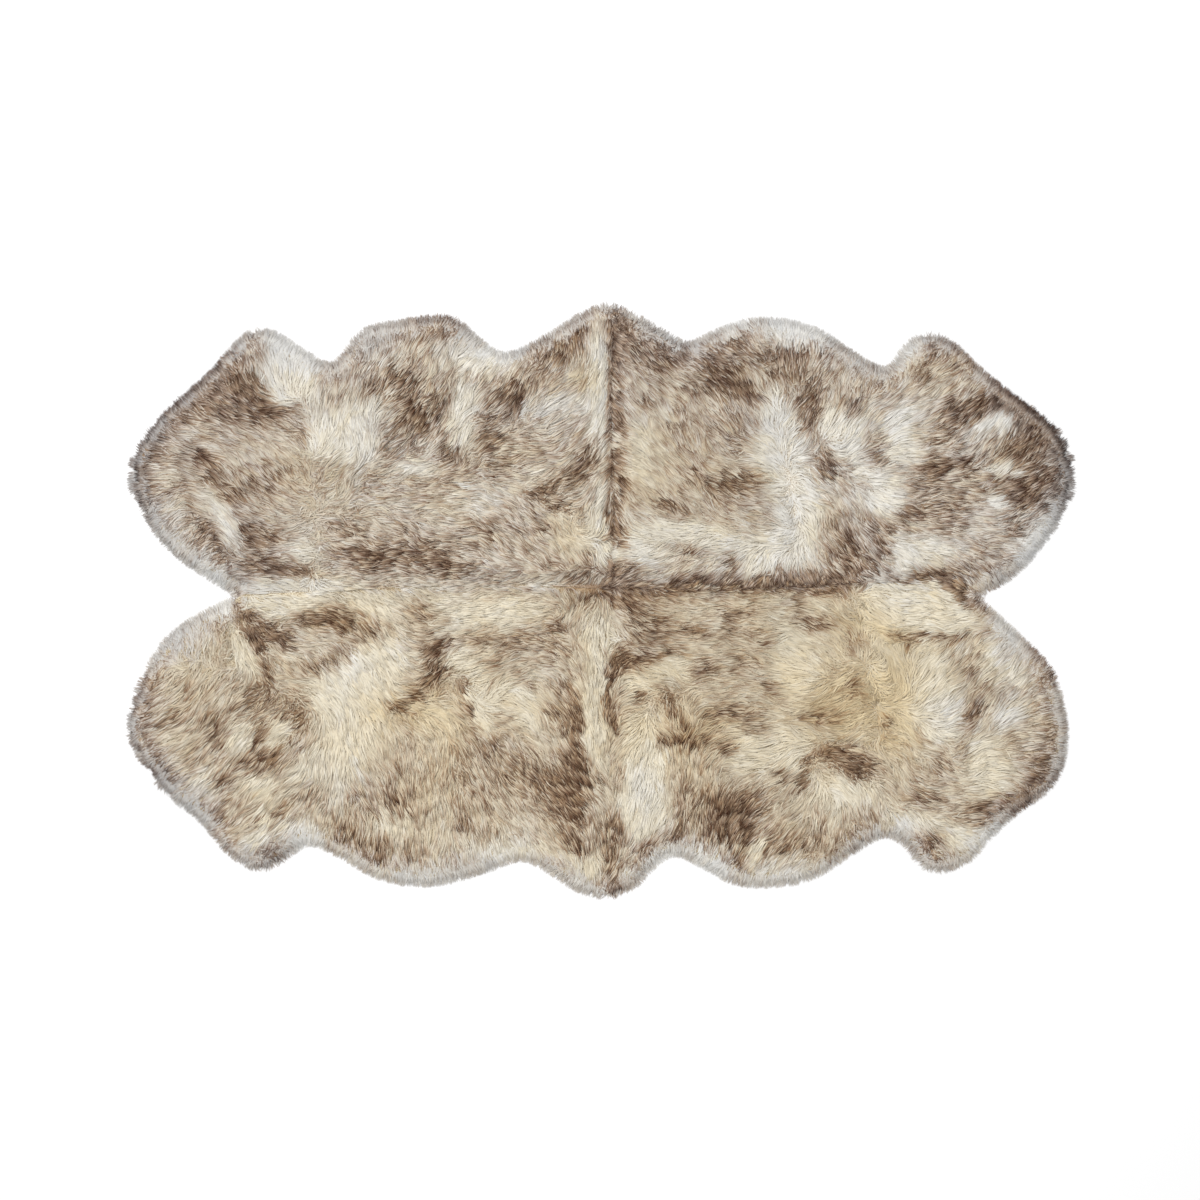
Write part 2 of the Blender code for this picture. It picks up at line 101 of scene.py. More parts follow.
fleece = {
    "pile": 0.054,  # height of the wool's crown
    "rimHeight": 0.011,  # of the wool's top where its last locks start
    "rimRoll": 0.062,  # how far in from there it reaches its crown
    "lockLength": 0.017,  # from there out to the tips
    "tipThick": 0.10,  # height at the tips, as a share of the rim's
    "seamHeight": 0.031,  # of the valley along a seam
    "seamRoll": 0.040,  # half width of that valley
    "seamEven": 0.6,  # how much of the lumps is missing at its bottom
    "lumpHeight": 0.011,
    "lumpSize": 0.085,
    "tuftHeight": 0.006,
    "tuftSize": 0.046,
    "underDepth": 0.013,  # from the wool's top down to the dense wool under the locks
    "underFade": (0.008, 0.060),  # depth inside the tips over which that sets in
    "underDrop": 0.002,  # from the top down to it besides, everywhere
    "least": 0.0012,  # height of the dense wool's top and of any part of a strand
    "underRim": 0.013,  # from the tips in to the edge of that dense wool
    "hideInset": 0.031,  # from the tips in to the leather's edge
    "overHide": 0.0023,  # the leather's thickness and a hair's clearance
    "seamGap": 0.00035,  # between neighbouring pelts
}

# How the wool lies: x, y, and the way its tips point, in degrees anticlockwise from +X.
lieStrokes = {
    "back_left": [
        (-86, 28, 165), (-86, 22, 180), (-84, 14, 215), (-78, 8, 225), (-72, 4, 215), (-80, 34, 150),
        (-80, 29, 163), (-80, 24, 175), (-80, 18, 205), (-76, 12, 225), (-74, 42, 135), (-74, 36, 155),
        (-74, 30, 170), (-74, 24, 150), (-74, 18, 165), (-70, 46, 130), (-70, 40, 133), (-69, 35, 155),
        (-69, 29, 158), (-69, 23, 140), (-69, 17, 130), (-68, 11, 130), (-65, 43, 118), (-65, 38, 135),
        (-64, 33, 162), (-64, 28, 143), (-64, 23, 120), (-64, 18, 145), (-64, 12, 160), (-64, 6, 175),
        (-62, 2, 175), (-60, 48, 95), (-60, 42, 100), (-59, 36, 180), (-59, 31, 163), (-59, 25, 138),
        (-58, 19, 165), (-58, 13, 195), (-58, 7, 170), (-55, 41, 65), (-52, 36, 75), (-47, 43, 88),
        (-45, 37, 80), (-45, 31, 110), (-50, 26, 30), (-47, 21, 55), (-49, 13, -18), (-47, 9, -10),
        (-50, 4, -10), (-42, 44, 65), (-40, 50, 100), (-35, 50, 80), (-42, 40, 45), (-40, 36, 32),
        (-38, 42, 40), (-36, 39, 50), (-35, 46, 62), (-36, 34, 45), (-38, 29, 38), (-32, 34, 50),
        (-30, 46, 60), (-30, 40, 65), (-30, 30, 55), (-28, 50, 50), (-27, 36, 70), (-27, 27, 60),
        (-22, 47, 50), (-20, 42, 50), (-20, 37, 48), (-15, 43, 50), (-15, 37, 57), (-10, 46, 55),
        (-10, 42, 45), (-8, 38, 40), (-42, 20, -5), (-42, 14, -20), (-40, 8, -5), (-35, 25, 5),
        (-35, 19, 0), (-35, 13, -25), (-35, 8, -8), (-33, 3, -8), (-28, 24, 5), (-28, 19, 0),
        (-28, 14, -8), (-28, 9, -5), (-25, 4, 5), (-20, 30, 10), (-20, 25, 0), (-20, 19, -25),
        (-20, 14, -40), (-20, 9, -38), (-18, 4, 8), (-13, 29, 0), (-13, 24, 0), (-13, 18, -38),
        (-13, 13, -35), (-12, 8, -35), (-12, 3, 10), (-6, 52, 70), (-5, 46, 105), (-5, 40, 40),
        (-5, 35, 25), (-6, 31, 30), (-5, 26, 40), (-6, 20, 20), (-7, 14, -55), (-7, 9, -55), (-5, 4, 30),
        (-1, 50, 85), (-1, 40, 75), (-1, 33, 65), (-2, 27, 60), (-2, 20, 50), (-1, 14, 85), (-1, 8, -60),
        (-2, 3, 60),
    ],
    "back_right": [
        (5, 48, 140), (5, 42, 135), (5, 36, 135), (5, 30, 160), (5, 25, 155), (5, 19, 125), (5, 14, 140),
        (6, 9, 180), (6, 5, 215), (12, 48, 140), (11, 43, 137), (11, 37, 135), (11, 32, 122),
        (11, 27, 135), (11, 21, 130), (12, 17, 150), (11, 13, 155), (12, 10, 210), (12, 6, 205),
        (18, 44, 148), (17, 40, 145), (18, 35, 120), (18, 31, 122), (18, 26, 125), (18, 21, 133),
        (18, 17, 135), (17, 13, 180), (18, 10, 215), (18, 6, 215), (24, 46, 150), (24, 42, 147),
        (24, 38, 130), (24, 33, 127), (24, 29, 150), (25, 25, 178), (24, 21, 147), (24, 17, 138),
        (24, 13, 143), (25, 10, 200), (25, 6, 215), (30, 44, 150), (30, 40, 125), (30, 36, 130),
        (30, 32, 132), (30, 28, 165), (30, 24, 170), (30, 20, 165), (30, 16, 158), (30, 12, 190),
        (29, 8, 235), (30, 5, 250), (36, 46, 85), (36, 41, 100), (37, 37, 45), (36, 33, 52), (36, 30, 60),
        (40, 43, 75), (40, 38, 60), (40, 34, 85), (40, 30, 95), (43, 42, 62), (44, 37, 65), (43, 28, -75),
        (43, 24, -60), (33, 30, 160), (33.3, 26, 168), (33.8, 22, 165), (34.5, 18, 160), (35, 14, 172),
        (35.3, 11, 190), (36.8, 30, 30), (37, 26, -5), (37.5, 22, -22), (38.2, 18, -30), (38.8, 14, -48),
        (38.8, 11, -58), (36, 7, -80), (38, 5, -70), (42, 21, -25), (42, 16, -75), (42, 12, -60),
        (42, 8, -52), (46, 20, -52), (47, 16, -65), (47, 12, -55), (46, 7, -47), (47, 40, 70),
        (47, 35, 65), (48, 31, 52), (48, 27, 42), (49, 23, -20), (50, 19, -60), (51, 15, -52),
        (52, 11, -42), (51, 7, -45), (52, 41, 58), (52, 37, 40), (52, 32, 40), (53, 28, 28), (53, 24, 5),
        (54, 20, -12), (56, 16, -20), (57, 12, -15), (57, 8, -40), (56, 4, -5), (57, 44, 90),
        (57, 38, 32), (57, 33, 10), (58, 29, 8), (58, 25, 0), (60, 20, 3), (61, 15, -12), (63, 11, -10),
        (63, 7, -30), (63, 3, -15), (60, 47, 80), (63, 44, 45), (63, 40, 35), (62, 36, 18), (64, 31, 12),
        (65, 26, 0), (66, 20, 3), (67, 15, -12), (68, 10, -18), (69, 6, -38), (69, 2, -40), (66, 47, 50),
        (67, 41, 45), (67, 36, 38), (69, 32, 45), (70, 28, 45), (71, 23, 0), (72, 18, 0), (73, 14, -12),
        (74, 10, -10), (72, 37, 40), (74, 33, 45), (75, 29, 55), (75, 25, 28), (77, 21, 12), (77, 16, 45),
        (78, 12, 0), (77, 37, 35), (79, 31, 65), (80, 27, 50), (81, 22, 33), (80, 18, 35), (83, 15, 20),
        (84, 32, 45), (85, 26, 38), (86, 21, 30), (87, 28, 30),
    ],
    "front_left": [
        (-82, -9, 135), (-77, -7, 100), (-72, -4, 90), (-72, -10, 88), (-80, -16, 222), (-75, -16, 240),
        (-85, -17, 215), (-69, -15, 215), (-85, -22, 215), (-80, -21, 212), (-75, -21, 228),
        (-70, -20, 232), (-66, -18, 205), (-85, -27, 205), (-80, -26, 210), (-75, -26, 222),
        (-71, -26, 237), (-66, -25, 235), (-62, -24, 222), (-59, -23, 212), (-82, -31, 228),
        (-77, -30, 213), (-72, -30, 222), (-67, -30, 230), (-62, -29, 225), (-80, -35, 230),
        (-76, -35, 220), (-72, -35, 225), (-67, -34, 212), (-62, -34, 222), (-58, -34, 222),
        (-74, -40, 235), (-70, -39, 222), (-66, -38, 215), (-62, -38, 240), (-58, -38, 230),
        (-54, -37, 240), (-70, -44, 215), (-66, -44, 205), (-62, -47, 240), (-58, -43, 225),
        (-54, -43, 255), (-66, -49, 250), (-67, -6, -52), (-65, -11, -50), (-62, -14, -55),
        (-64, -3, -18), (-60, -4, 5), (-55, -4, -5), (-61, -8, -20), (-57, -8, -12), (-60, -12, -38),
        (-56, -13, -32), (-60, -17, 3), (-56, -17, -12), (-61, -20, 200), (-53, -9, -8), (-52, -13, -55),
        (-50, -7, -10), (-48, -10, -50), (-52, -19, -45), (-48, -16, -58), (-50, -24, -88),
        (-54, -27, 250), (-45, -9, -45), (-41, -6, -45), (-41, -11, -60), (-44, -17, -50), (-37, -4, -32),
        (-37, -9, -40), (-36, -13, -45), (-33, -6, -3), (-31, -10, 40), (-31, -13, 48), (-33, -16, 58),
        (-37, -20, -5), (-33, -21, -5), (-27, -17, -85), (-25, -20, -45), (-27, -5, 3), (-20, -4, 5),
        (-13, -4, 2), (-27, -9, 15), (-20, -9, 5), (-13, -9, -3), (-8, -7, -25), (-23, -12, 28),
        (-17, -12, 14), (-11, -12, 3), (-7, -13, -35), (-21, -16, 55), (-16, -15, 20), (-15, -18, -25),
        (-11, -17, -42), (-8, -18, -47), (-16, -22, -8), (-12, -22, -57), (-8, -23, -58), (-5, -20, -68),
        (-5, -25, -63), (-5, -4, 245), (-2, -7, 268), (-2, -13, -85), (-1, -20, -90), (-1, -27, -90),
        (-1, -33, -68), (-1, -40, -72), (-1, -47, -80), (-40, -24, -55), (-35, -24, -50), (-45, -24, -88),
        (-45, -28, -65), (-40, -28, -65), (-35, -28, -78), (-30, -27, -75), (-25, -27, -45),
        (-50, -30, -88), (-46, -32, -68), (-41, -33, -58), (-37, -33, -75), (-33, -33, -90),
        (-29, -32, -92), (-25, -32, -60), (-20, -28, -58), (-20, -33, -56), (-15, -28, -53),
        (-15, -33, -50), (-10, -28, -53), (-10, -33, -45), (-6, -29, -58), (-6, -34, -43),
        (-50, -36, -95), (-45, -38, -75), (-41, -38, -60), (-37, -38, -70), (-33, -39, -92),
        (-28, -38, -88), (-24, -38, -63), (-19, -38, -58), (-14, -38, -48), (-9, -38, -42),
        (-5, -39, -47), (-50, -43, -97), (-45, -44, -90), (-40, -44, -88), (-35, -44, -85),
        (-30, -44, -95), (-25, -44, -75), (-20, -44, -78), (-15, -44, -60), (-10, -44, -47),
        (-5, -44, -58),
    ],
    "front_right": [
        (1, -12, 255), (1, -18, -95), (2, -22, -82), (6, -2, 150), (9, -6, 145), (5, -5, 135),
        (12, -3, 180), (20, -3, 182), (30, -3, 180), (38, -3, 175), (45, -4, 158), (40, -7, 147),
        (46, -9, 125), (42, -12, 125), (33, -7, 188), (35, -11, 162), (12, -8, 175), (20, -8, 183),
        (27, -8, 170), (12, -12, 170), (20, -13, 182), (28, -12, 172), (35, -15, 180), (8, -15, 148),
        (14, -16, 155), (22, -17, 182), (30, -17, 165), (38, -17, 185), (43, -16, 225), (48, -15, 200),
        (7, -19, 175), (13, -20, 300), (15, -23, 315), (20, -20, 205), (26, -20, 180), (33, -20, 172),
        (39, -20, 188), (45, -20, 190), (50, -19, 185), (5, -25, 220), (8, -26, 242), (11, -24, 310),
        (17, -24, 222), (21, -25, 220), (27, -24, 178), (33, -25, 205), (38, -24, 155), (44, -24, 188),
        (50, -25, 180), (23, -28, 210), (28, -29, 180), (35, -30, 212), (38, -32, 225), (27, -32, 180),
        (4, -30, 240), (7, -32, 252), (12, -30, 298), (16, -31, 280), (20, -31, 258), (13, -35, 285),
        (17, -36, 260), (21, -36, 258), (24, -36, 262), (28, -36, 222), (32, -37, 213), (36, -38, 228),
        (3, -36, 265), (6, -38, 256), (10, -39, 256), (14, -41, 255), (18, -42, 264), (22, -42, 263),
        (26, -40, 235), (29, -41, 218), (33, -42, 225), (37, -42, 238), (41, -41, 265), (45, -41, 262),
        (3, -44, 262), (7, -45, 250), (12, -45, 226), (18, -47, 265), (23, -47, 261), (28, -46, 235),
        (33, -47, 225), (38, -47, 225), (43, -45, 258), (1, -48, -85), (5, -50, 240), (44, -29, -5),
        (47, -30, -12), (44, -33, -40), (48, -34, -40), (50, -31, -12), (50, -37, -80), (52, -41, -75),
        (48, -45, -58), (54, -30, -45), (56, -33, -75), (57, -29, -75), (55, -25, -17), (58, -25, -58),
        (54, -20, 5), (52, -15, -5), (52, -3, -25), (58, -3, -8), (57, -5, 0), (63, -5, -5), (69, -5, 12),
        (61, 0, -20), (56, -11, 118), (57, -16, 112), (61, -10, 40), (64, -11, 52), (68, -10, 52),
        (72, -12, 45), (61, -14, 58), (65, -15, 42), (69, -15, 57), (62, -18, 45), (66, -19, 38),
        (70, -19, 57), (74, -16, 48), (78, -17, 45), (75, -20, 45), (80, -20, 28), (84, -20, -10),
        (71, -23, 52), (75, -24, 25), (80, -24, 12), (84, -25, 5), (70, -27, 30), (74, -28, 3),
        (79, -28, 3), (84, -29, -8), (69, -31, 45), (75, -32, -10), (80, -32, -18), (84, -32, -5),
        (62, -27, -25), (61, -31, -25), (65, -31, -45), (61, -35, -12), (66, -35, 5), (70, -36, -8),
        (75, -36, -28), (79, -37, -50), (58, -38, -25), (62, -39, 5), (67, -39, 8), (72, -39, -5),
        (76, -38, -18), (57, -42, -42), (61, -43, -48), (65, -42, -25), (69, -42, 8), (72, -43, 25),
        (61, -47, -58), (65, -47, -50), (69, -46, -30),
    ],
}

# Patches of tone: x, y, half length, half width, turn of the length, amount. Plus is browner tips.
# Brown lines along the seams, in the crease from the left notch, in the trough above the left flap and on
# the flank above the long seam are partly painted shade of those hollows.
toneMarks = [
    # back left, outer half
    (-86.5, 26, 6, 1.8, 80, .6), (-85.5, 30, 3, 1.6, 60, .3), (-82.5, 35.5, 2.5, 2.5, 0, .5),
    (-74.5, 41.5, 8, 2.2, 42, .45), (-69.5, 44.5, 2.5, 1.2, 60, .4), (-67, 41, 3.5, 2, -40, .45),
    (-65.5, 38, 3.2, 2, -60, .5), (-66.5, 35.3, 4, 1.8, 0, .45), (-70, 37, 5, 3, 20, .3),
    (-71, 38, 9, 4.5, 25, .25), (-58.8, 35.8, 3, 1.2, 15, .75), (-61.5, 34.9, 1.5, .5, 0, .4),
    (-63.5, 46.5, 1.5, 1, 90, .3), (-57.5, 33, 3, 1.2, 0, .25), (-56, 31, 2, 1, 90, .35),
    (-74.5, 26.5, 2, 1.3, -30, .5), (-73, 23.5, 3.5, 1.3, -55, .75), (-69, 19.5, 2, 1.5, -40, .4),
    (-66, 14, 3, 1, -70, .4), (-65, 22, 2.2, 1.6, 60, .35), (-60, 21.5, 3.5, 2, 0, .2),
    # (-61.5, 6): the dark line in the trough above the left flap, partly painted shade
    (-62.5, 11.5, 4, 1.4, 0, .6), (-66, 11.5, 1, 1, 0, .3), (-61.5, 6, 5.5, 1.3, -10, .9),
    (-55, 4.8, 1.6, .5, -35, .6), (-73.5, 13.5, 2.5, .9, -50, .4), (-71, 9, 1.2, 1, 0, .35),
    (-73, 11, 2.5, .8, -50, .35), (-80, 20.5, 1.2, .7, 20, .35), (-46, 14, 4, 1.2, -20, .3),
    (-49, 13.5, 2, 1, -30, .3), (-46, 9, 2.5, .8, -5, .45), (-44.5, 8, 3, 1.2, -10, .6),
    (-72.5, 19, 4, 1.4, -60, -.3), (-70, 14.5, 4, 1.2, -65, -.22), (-68.8, 11, 3.5, 1.1, -60, -.22),
    (-58.5, 43.5, 7.5, 3.8, 100, -.9), (-59.7, 38.5, 3, 1.5, 90, -.7), (-83.5, 32.8, 2.5, 1.6, 35, -.4),
    (-83, 17, 2.5, 1.5, 45, -.35), (-80, 11, 3, 1.5, -45, -.3), (-72.5, 4, 6, 2, -45, -.4),
    (-48.3, 33, 2.5, 1.2, 10, -.6), (-51.5, 31, 2.5, 2.5, 0, -.6), (-53, 29.5, 2, 1.2, 0, -.5),
    (-47, 18.5, 3, 5, 0, -.1), (-46, 30, 5, 4, 0, -.15), (-57, 2.3, 7, 1.6, 0, -.75),
    (-56, 9.5, 3.5, 1.6, -20, -.4),
    # back left, inner half
    # (-36, 8.2) and (-28.5, 6): the dark streak of the flank above the long seam, partly painted shade
    (-36, 8.2, 9.5, 1.6, -5, .55), (-28.5, 6, 5, 1, -12, .4), (-40.5, 6, 1.5, 1.2, 45, .3),
    (-28.5, 52.5, 2, 1.2, 80, .5), (-33.5, 53, 4, .8, 5, .35), (-42, 40.5, 3, 1.2, 40, .4),
    (-43, 39, 1.5, 1, 80, .3), (-36, 40, 2.5, 2.5, -50, .45), (-35.5, 36.5, 1.8, 1.5, 45, .55),
    (-34, 33.8, 4, 1.6, 25, .5), (-37.5, 32.5, 2.5, 1, 25, .35), (-29, 38, 2.5, 1.2, 75, .5),
    (-28, 29, 3.5, 2.5, 60, .2), (-27.5, 27, 1.5, 1, 80, .4), (-37.5, 28.5, 3, 1.2, 0, .25),
    (-31.5, 23.5, 1.5, 1, 0, .3), (-42.5, 23, 1.2, 1.2, 60, .3), (-24, 41.3, 1.2, 1, 0, .35),
    (-18.5, 38.5, 2, 1.5, 60, .45), (-15, 39.5, 3, 1.4, 60, .5), (-16, 36.8, 2, 1.2, 70, .45),
    (-20.7, 31.5, 2.5, 1.8, 80, .7), (-23, 34.5, 1.5, .6, -10, .4), (-18, 27, 3, 2, 20, .2),
    (-3.8, 51.5, 2, 1.2, 60, .5), (-6, 48, 3, 1.5, 65, .5), (-9, 45, 3, 1.5, 50, .3),
    (-12, 45.5, 2, 1.5, 0, .2), (-5.5, 24, 4, 2.2, 35, .4), (-2, 27.5, 2.2, 1, 65, .5),
    (-10.5, 20.3, 2.5, .8, 20, .45), (-12.3, 18, 2, 1, 80, .35), (-8, 17.8, 2, .7, 0, .35),
    (-10, 13.8, 1, .8, 0, .3), (-18, 13, 3.5, 2.5, -50, .2), (-22, 14, 3, 1, -20, .2),
    (-33, 11, 5, 2, 0, .25), (-3, 4.3, 2, 1, -20, .4), (-1.8, 7.3, 1.2, .8, -50, .6),
    (-1, 3.2, 1.5, 1, 80, .5), (-2, .5, 2.5, 1, 20, .55), (-5.5, 2.2, 2.5, .7, 5, .5),
    (-8.5, 3.2, 3, 1.2, 0, -.25), (-21.5, 45.5, 6, 2.5, -10, -.5), (-25.5, 37, 5, 2, 80, -.55),
    (-25, 31, 2.5, 1.2, 60, -.5), (-34.5, 24.5, 2.8, 1, -5, -.5), (-31.5, 24.5, 1, 1, 0, -.4),
    (-43.5, 36.5, 3, 1.5, 0, -.45), (-44, 28, 4, 3, 80, -.25), (-.5, 44, 8, 1.2, 90, -.45),
    (.2, 35, 6, 1, 90, -.5), (.5, 8, 2.5, 1.5, 80, -.6), (0, 13, 3, 1.2, 90, -.4),
    (.5, 20, 4, 1, 90, -.3), (-5, 11, 3, 3, 0, -.2), (-22, 18, 8, 2.5, 0, -.15), (-8, 37, 3, 1.5, 0, -.3),
    (-39.5, 24.5, 5, 4, 0, .08), (-19.5, 10.5, 3, 3, 0, .06), (-11, 24.5, 5, 6, 0, -.05),
    (-13, 48, 3, 2, 0, -.1), (-76.5, 41, 9, 2.2, 42, .25),
    # the valley of the cross seam, back half: browner tips, partly painted shade of the valley
    (3, 51.5, 3, .9, 90, 1.1), (2.8, 45, 4, .35, 92, 1.3), (2.7, 38.5, 1.8, .4, 90, 1.2),
    (2.6, 35, 3, .4, 88, 1.4), (3.6, 33.5, 5, .8, 90, .35), (3, 28, 5, .35, 92, 1),
    (3.2, 21, 4, .35, 95, 1), (2.9, 14.3, 2.3, .5, 105, 1.3), (3.5, 10.5, 2, .5, 130, .6),
    (2.4, 5, 2, 1.3, 90, .9), (4, 2, 3, 1.3, 10, .9),
    # back right, inner half
    (8.5, 47, 5, 3, -40, .3), (14.5, 46, 3, 1.5, -20, .45), (20.5, 43.5, 4, 1.5, -25, .6),
    (24, 41, 4, 1.8, -20, .5), (27, 38.8, 3.5, 1, -10, .55), (27.5, 50.5, 3.5, 1, 15, .35),
    (30, 46, 2, 1, 0, .3), (34, 46, 3.5, 1.2, 15, .55), (37.5, 46.5, 1.5, .8, -30, .4),
    (42.5, 47, 1.3, .8, 30, .45), (25, 47, 5, 2, 0, .35), (37, 42, 3, .8, -10, .4),
    (32, 41, 1.2, 1, 45, .4), (17, 38.5, 3, 1.2, 0, .3), (21, 33, 5, 4, -50, .15),
    (27, 33, 3, 3, -50, .2), (27, 22.5, 6.5, 1.5, 8, .45), (24, 20, 3, 2, 0, .3), (17.5, 24, 1, 1, 0, .4),
    (13, 17.7, 1.5, .7, -15, .4), (16, 17.3, 1, .6, 0, .3), (14, 34, 2, 1.2, 70, .25),
    (9, 37, 3, .7, -20, .2), (40.3, 36, 4, 1, 93, .65), (38, 37, 2, 1, 60, .35),
    (38.5, 33, 2, 1.5, 60, .35), (43.7, 24.6, 2, 1.2, 0, .85), (41.8, 28, 2, 1.5, 70, .3),
    (47, 36.3, 1.5, .8, -10, .5), (46.8, 12, .9, .6, 80, .7), (48, 8.3, 2, 2, -50, .6),
    (44, 9, 4, 3, -60, .3), (17.3, 8.9, .9, .7, 45, .3), (24.3, 6.5, 1.2, .9, 80, .4),
    # from (8, 1.8) on, and the next line: brown along the long seam, partly painted shade of its valley
    (23, 9, 2.5, 1.2, 0, -.15), (6, 6, 1.5, .8, 30, .4), (8, 1.8, 4, 1, -10, .9), (15, 2.6, 2, .9, 0, .9),
    (20, 3.2, 3, .8, 5, 1), (30, 2.8, 7, .7, 3, 1), (38, 2.7, 6, .8, 0, 1), (46, 3.5, 5, 1.3, 15, .9),
    (32.5, 35.5, 3, 1.5, 90, -1), (34.2, 27.5, 3.6, 2.9, 100, -1.4), (34.5, 31, 2.5, 2, 90, -.6),
    (35.8, 22, 4, 2.2, 105, -1.2), (37.3, 15.5, 4.5, 2.5, 95, -1.4), (37, 9, 2, 2, 0, -.7),
    (30.5, 8.5, 3, 3, 0, -.45), (43, 33, 1.8, 1.6, 90, -.8), (19, 12.2, 4.5, 1.1, -12, -.9),
    (10, 13.3, 4, 1, 0, -.5), (23, 11.5, 2, .8, -25, -.7), (7, 9, 4, 3, 0, -.45),
    (13, 36, 2.5, 1.5, 0, -.3), (7.5, 30, 3, 2.5, 0, -.3), (7, 24, 3, 3, 0, -.25),
    (25, 51.3, 3.5, 1.2, 25, -.45), (36.5, 50.5, 6, 2, -8, -.75),
    # back right, outer half
    (63, 47, 3.5, 1.6, 55, .4), (62, 43.5, 2.5, 1.5, 75, .3), (66.5, 48.5, 3, .8, -45, .35),
    (72.8, 37, 3, 1.6, 25, .9), (68.5, 35, 4, 1, 25, .5), (66.3, 37.2, 1.2, 1.2, 0, .4),
    (76, 39, 3, 1.5, -40, .5), (80, 37, 4, 1.5, -40, .45), (77, 41.5, 3, 1, -40, .4),
    (81.5, 32, 4.5, 2.5, 40, .75), (85, 32, 2, 2, 0, .6), (79, 30, 3, 1.5, 60, .5),
    (82, 27, 5, 2, 30, .45), (78, 21, 4, 1.2, 10, .6), (81.5, 21.5, 3, 2, 60, .7),
    (81, 18, 3, 1.5, -10, .6), (77, 17.5, 2.5, 1.2, 80, .5), (86, 21, 3, 1.5, 20, .4),
    (88.5, 24.5, 1.5, 1, 0, .4), (87.5, 25, 6, 1.5, 95, .15), (80, 35.5, 6, 1.5, -42, .15),
    (88, 28, 3, 1.5, -60, .35), (88.5, 20.5, 1.5, 1.3, 90, .35), (65.5, 33, 3, 2.5, 60, .35),
    (61.5, 29.5, 3, .8, 5, .4), (63.5, 25.3, 2.5, .9, 10, .45), (69.5, 24, 1.3, 1, -40, .55),
    (69.5, 26, 3, .6, 10, .3), (73.5, 23, 1, .8, -60, .45), (63.5, 21.5, 3.5, 2.5, 0, .3),
    (64, 17.5, 3, 2.5, 0, .3), (59, 16.3, 2, .9, -15, .45), (66, 15.5, 1, 1, -60, .35),
    (54, 14, 3, .8, 0, .25), (52, 27, 2.5, 1.5, 60, .35), (53, 10, 1.3, .9, -55, .6),
    (50, 21, 1, 1, 0, .35), (50, 14, 4, 3, -50, .2), (79, 13, 2, .6, 15, .25), (65, 5.2, 2, 1, -20, .4),
    # from (57, 3.3) on, and the next line: brown along the long seam, partly painted shade of its valley
    (69, 5, 2, 1, -40, .35), (57, 3.3, 2, .35, 5, 1), (61, 4.3, 2.2, .35, 5, 1),
    (65, 3.6, 2.4, .45, -25, 1.1), (67.8, 1.7, 1.6, .7, -45, 1.1), (70, .2, 2, .8, -15, .8),
    (75.5, 33.5, 1.6, 1.2, -30, -.8), (75.5, 36.8, 2.5, 1.2, -30, .2), (72.5, 33, 2, 1, 20, -.5),
    (75.2, 24.7, 2.5, 1.1, 15, -.6), (78.5, 23.7, 1.2, .8, 0, -.5), (75.2, 18.5, 2, 1.3, 110, -.85),
    (53.5, 18.5, 2.8, 2.2, 0, -.75), (52.5, 21.5, 2, 2, 0, -.3), (57.5, 28.7, 3, 1.8, 0, -.6),
    (56.5, 34, 3.5, 2, 30, -.4), (49, 24.5, 2.5, 2, 0, -.4), (46.5, 29.5, 2.5, 2, 0, -.6),
    (46.5, 33, 2, 1.5, 0, -.6), (85, 17, 3.5, 1.6, 60, -.5), (82.5, 12, 3.5, 2, 60, -.5),
    (80, 8.5, 3, 1.5, 50, -.4), (58.5, 46.5, 3, 1.8, 60, -.4), (62, 48, 2, 1.2, 0, .15),
    (62.5, 9.5, 4, 1.5, -5, -.4), (57.5, 8.5, 2, 1.5, 0, -.4), (73.5, 34, 3, 2.5, 0, .1),
    (69, -.5, 4, 1.5, 0, .25), (77, 41, 9, 2.2, -42, .3), (11, 45, 8, 6, 0, .08),
    (3.2, 46, 7, .8, 90, .25), (32, 9, 10, 4, 0, -.1),
    # front left, outer half; its first two lines follow the crease from the left notch, partly painted shade
    (-68.7, .8, 1.4, .5, -60, .9), (-67, -3, 2.2, .5, -60, .75), (-65.3, -6.3, 2.2, .6, -60, .9),
    (-64.2, -8.8, 1.2, 1, -60, .6), (-63, -13.5, 2, .5, -80, .55), (-62.8, -16.5, 1.2, .4, -80, .4),
    (-65.5, -3, 1.5, .8, -30, .5), (-62, -5.3, 2.5, 1.2, -25, .75), (-60.3, -7, 2, .9, -15, .7),
    (-63, -7.5, 1.5, 1, -20, .4), (-52.5, -3.8, 4, 1.2, -15, 1), (-49, -2.6, 2, 1, -10, .6),
    (-47.5, -4.2, 2, .9, -20, .1), (-42, -1, 3.5, 1.5, -5, -.5), (-48, -11.8, 2.8, 1.6, 50, .55),
    (-52, -12, 3, .9, 20, .35), (-44, -7, 2, 2, 50, .3), (-58, -20, 5, 3.5, -20, .3),
    (-56.5, -22, 3, 1.5, 80, .35), (-64, -26, 2, 1.3, 80, 1), (-63.5, -30.3, 1.5, 1.2, 0, .9),
    (-61.3, -29, 1.5, 1.2, 60, .8), (-66.8, -30, 1, 1, 0, .5), (-72, -26, 2.5, 1.2, 75, .5),
    (-66, -18.7, 2, 1, -20, .45), (-70.8, -33.8, .8, .7, 0, .55), (-73, -22.5, 1.5, 1.2, 60, .3),
    (-68, -20.5, 2, 1, 0, .25), (-81, -23, 3, .9, 25, .3), (-64, -15.5, 2.5, 2.5, 0, .3),
    (-77, -15.5, 3, 3, 0, -.05), (-54.5, -37, 1.5, 1, 60, .3), (-61, -40.5, 1, .8, 60, .45),
    (-64.8, -41.8, .8, .8, 0, .4), (-72.3, -40.5, 1.3, .7, 70, .4), (-45, -38, 2.5, 1.5, -60, .45),
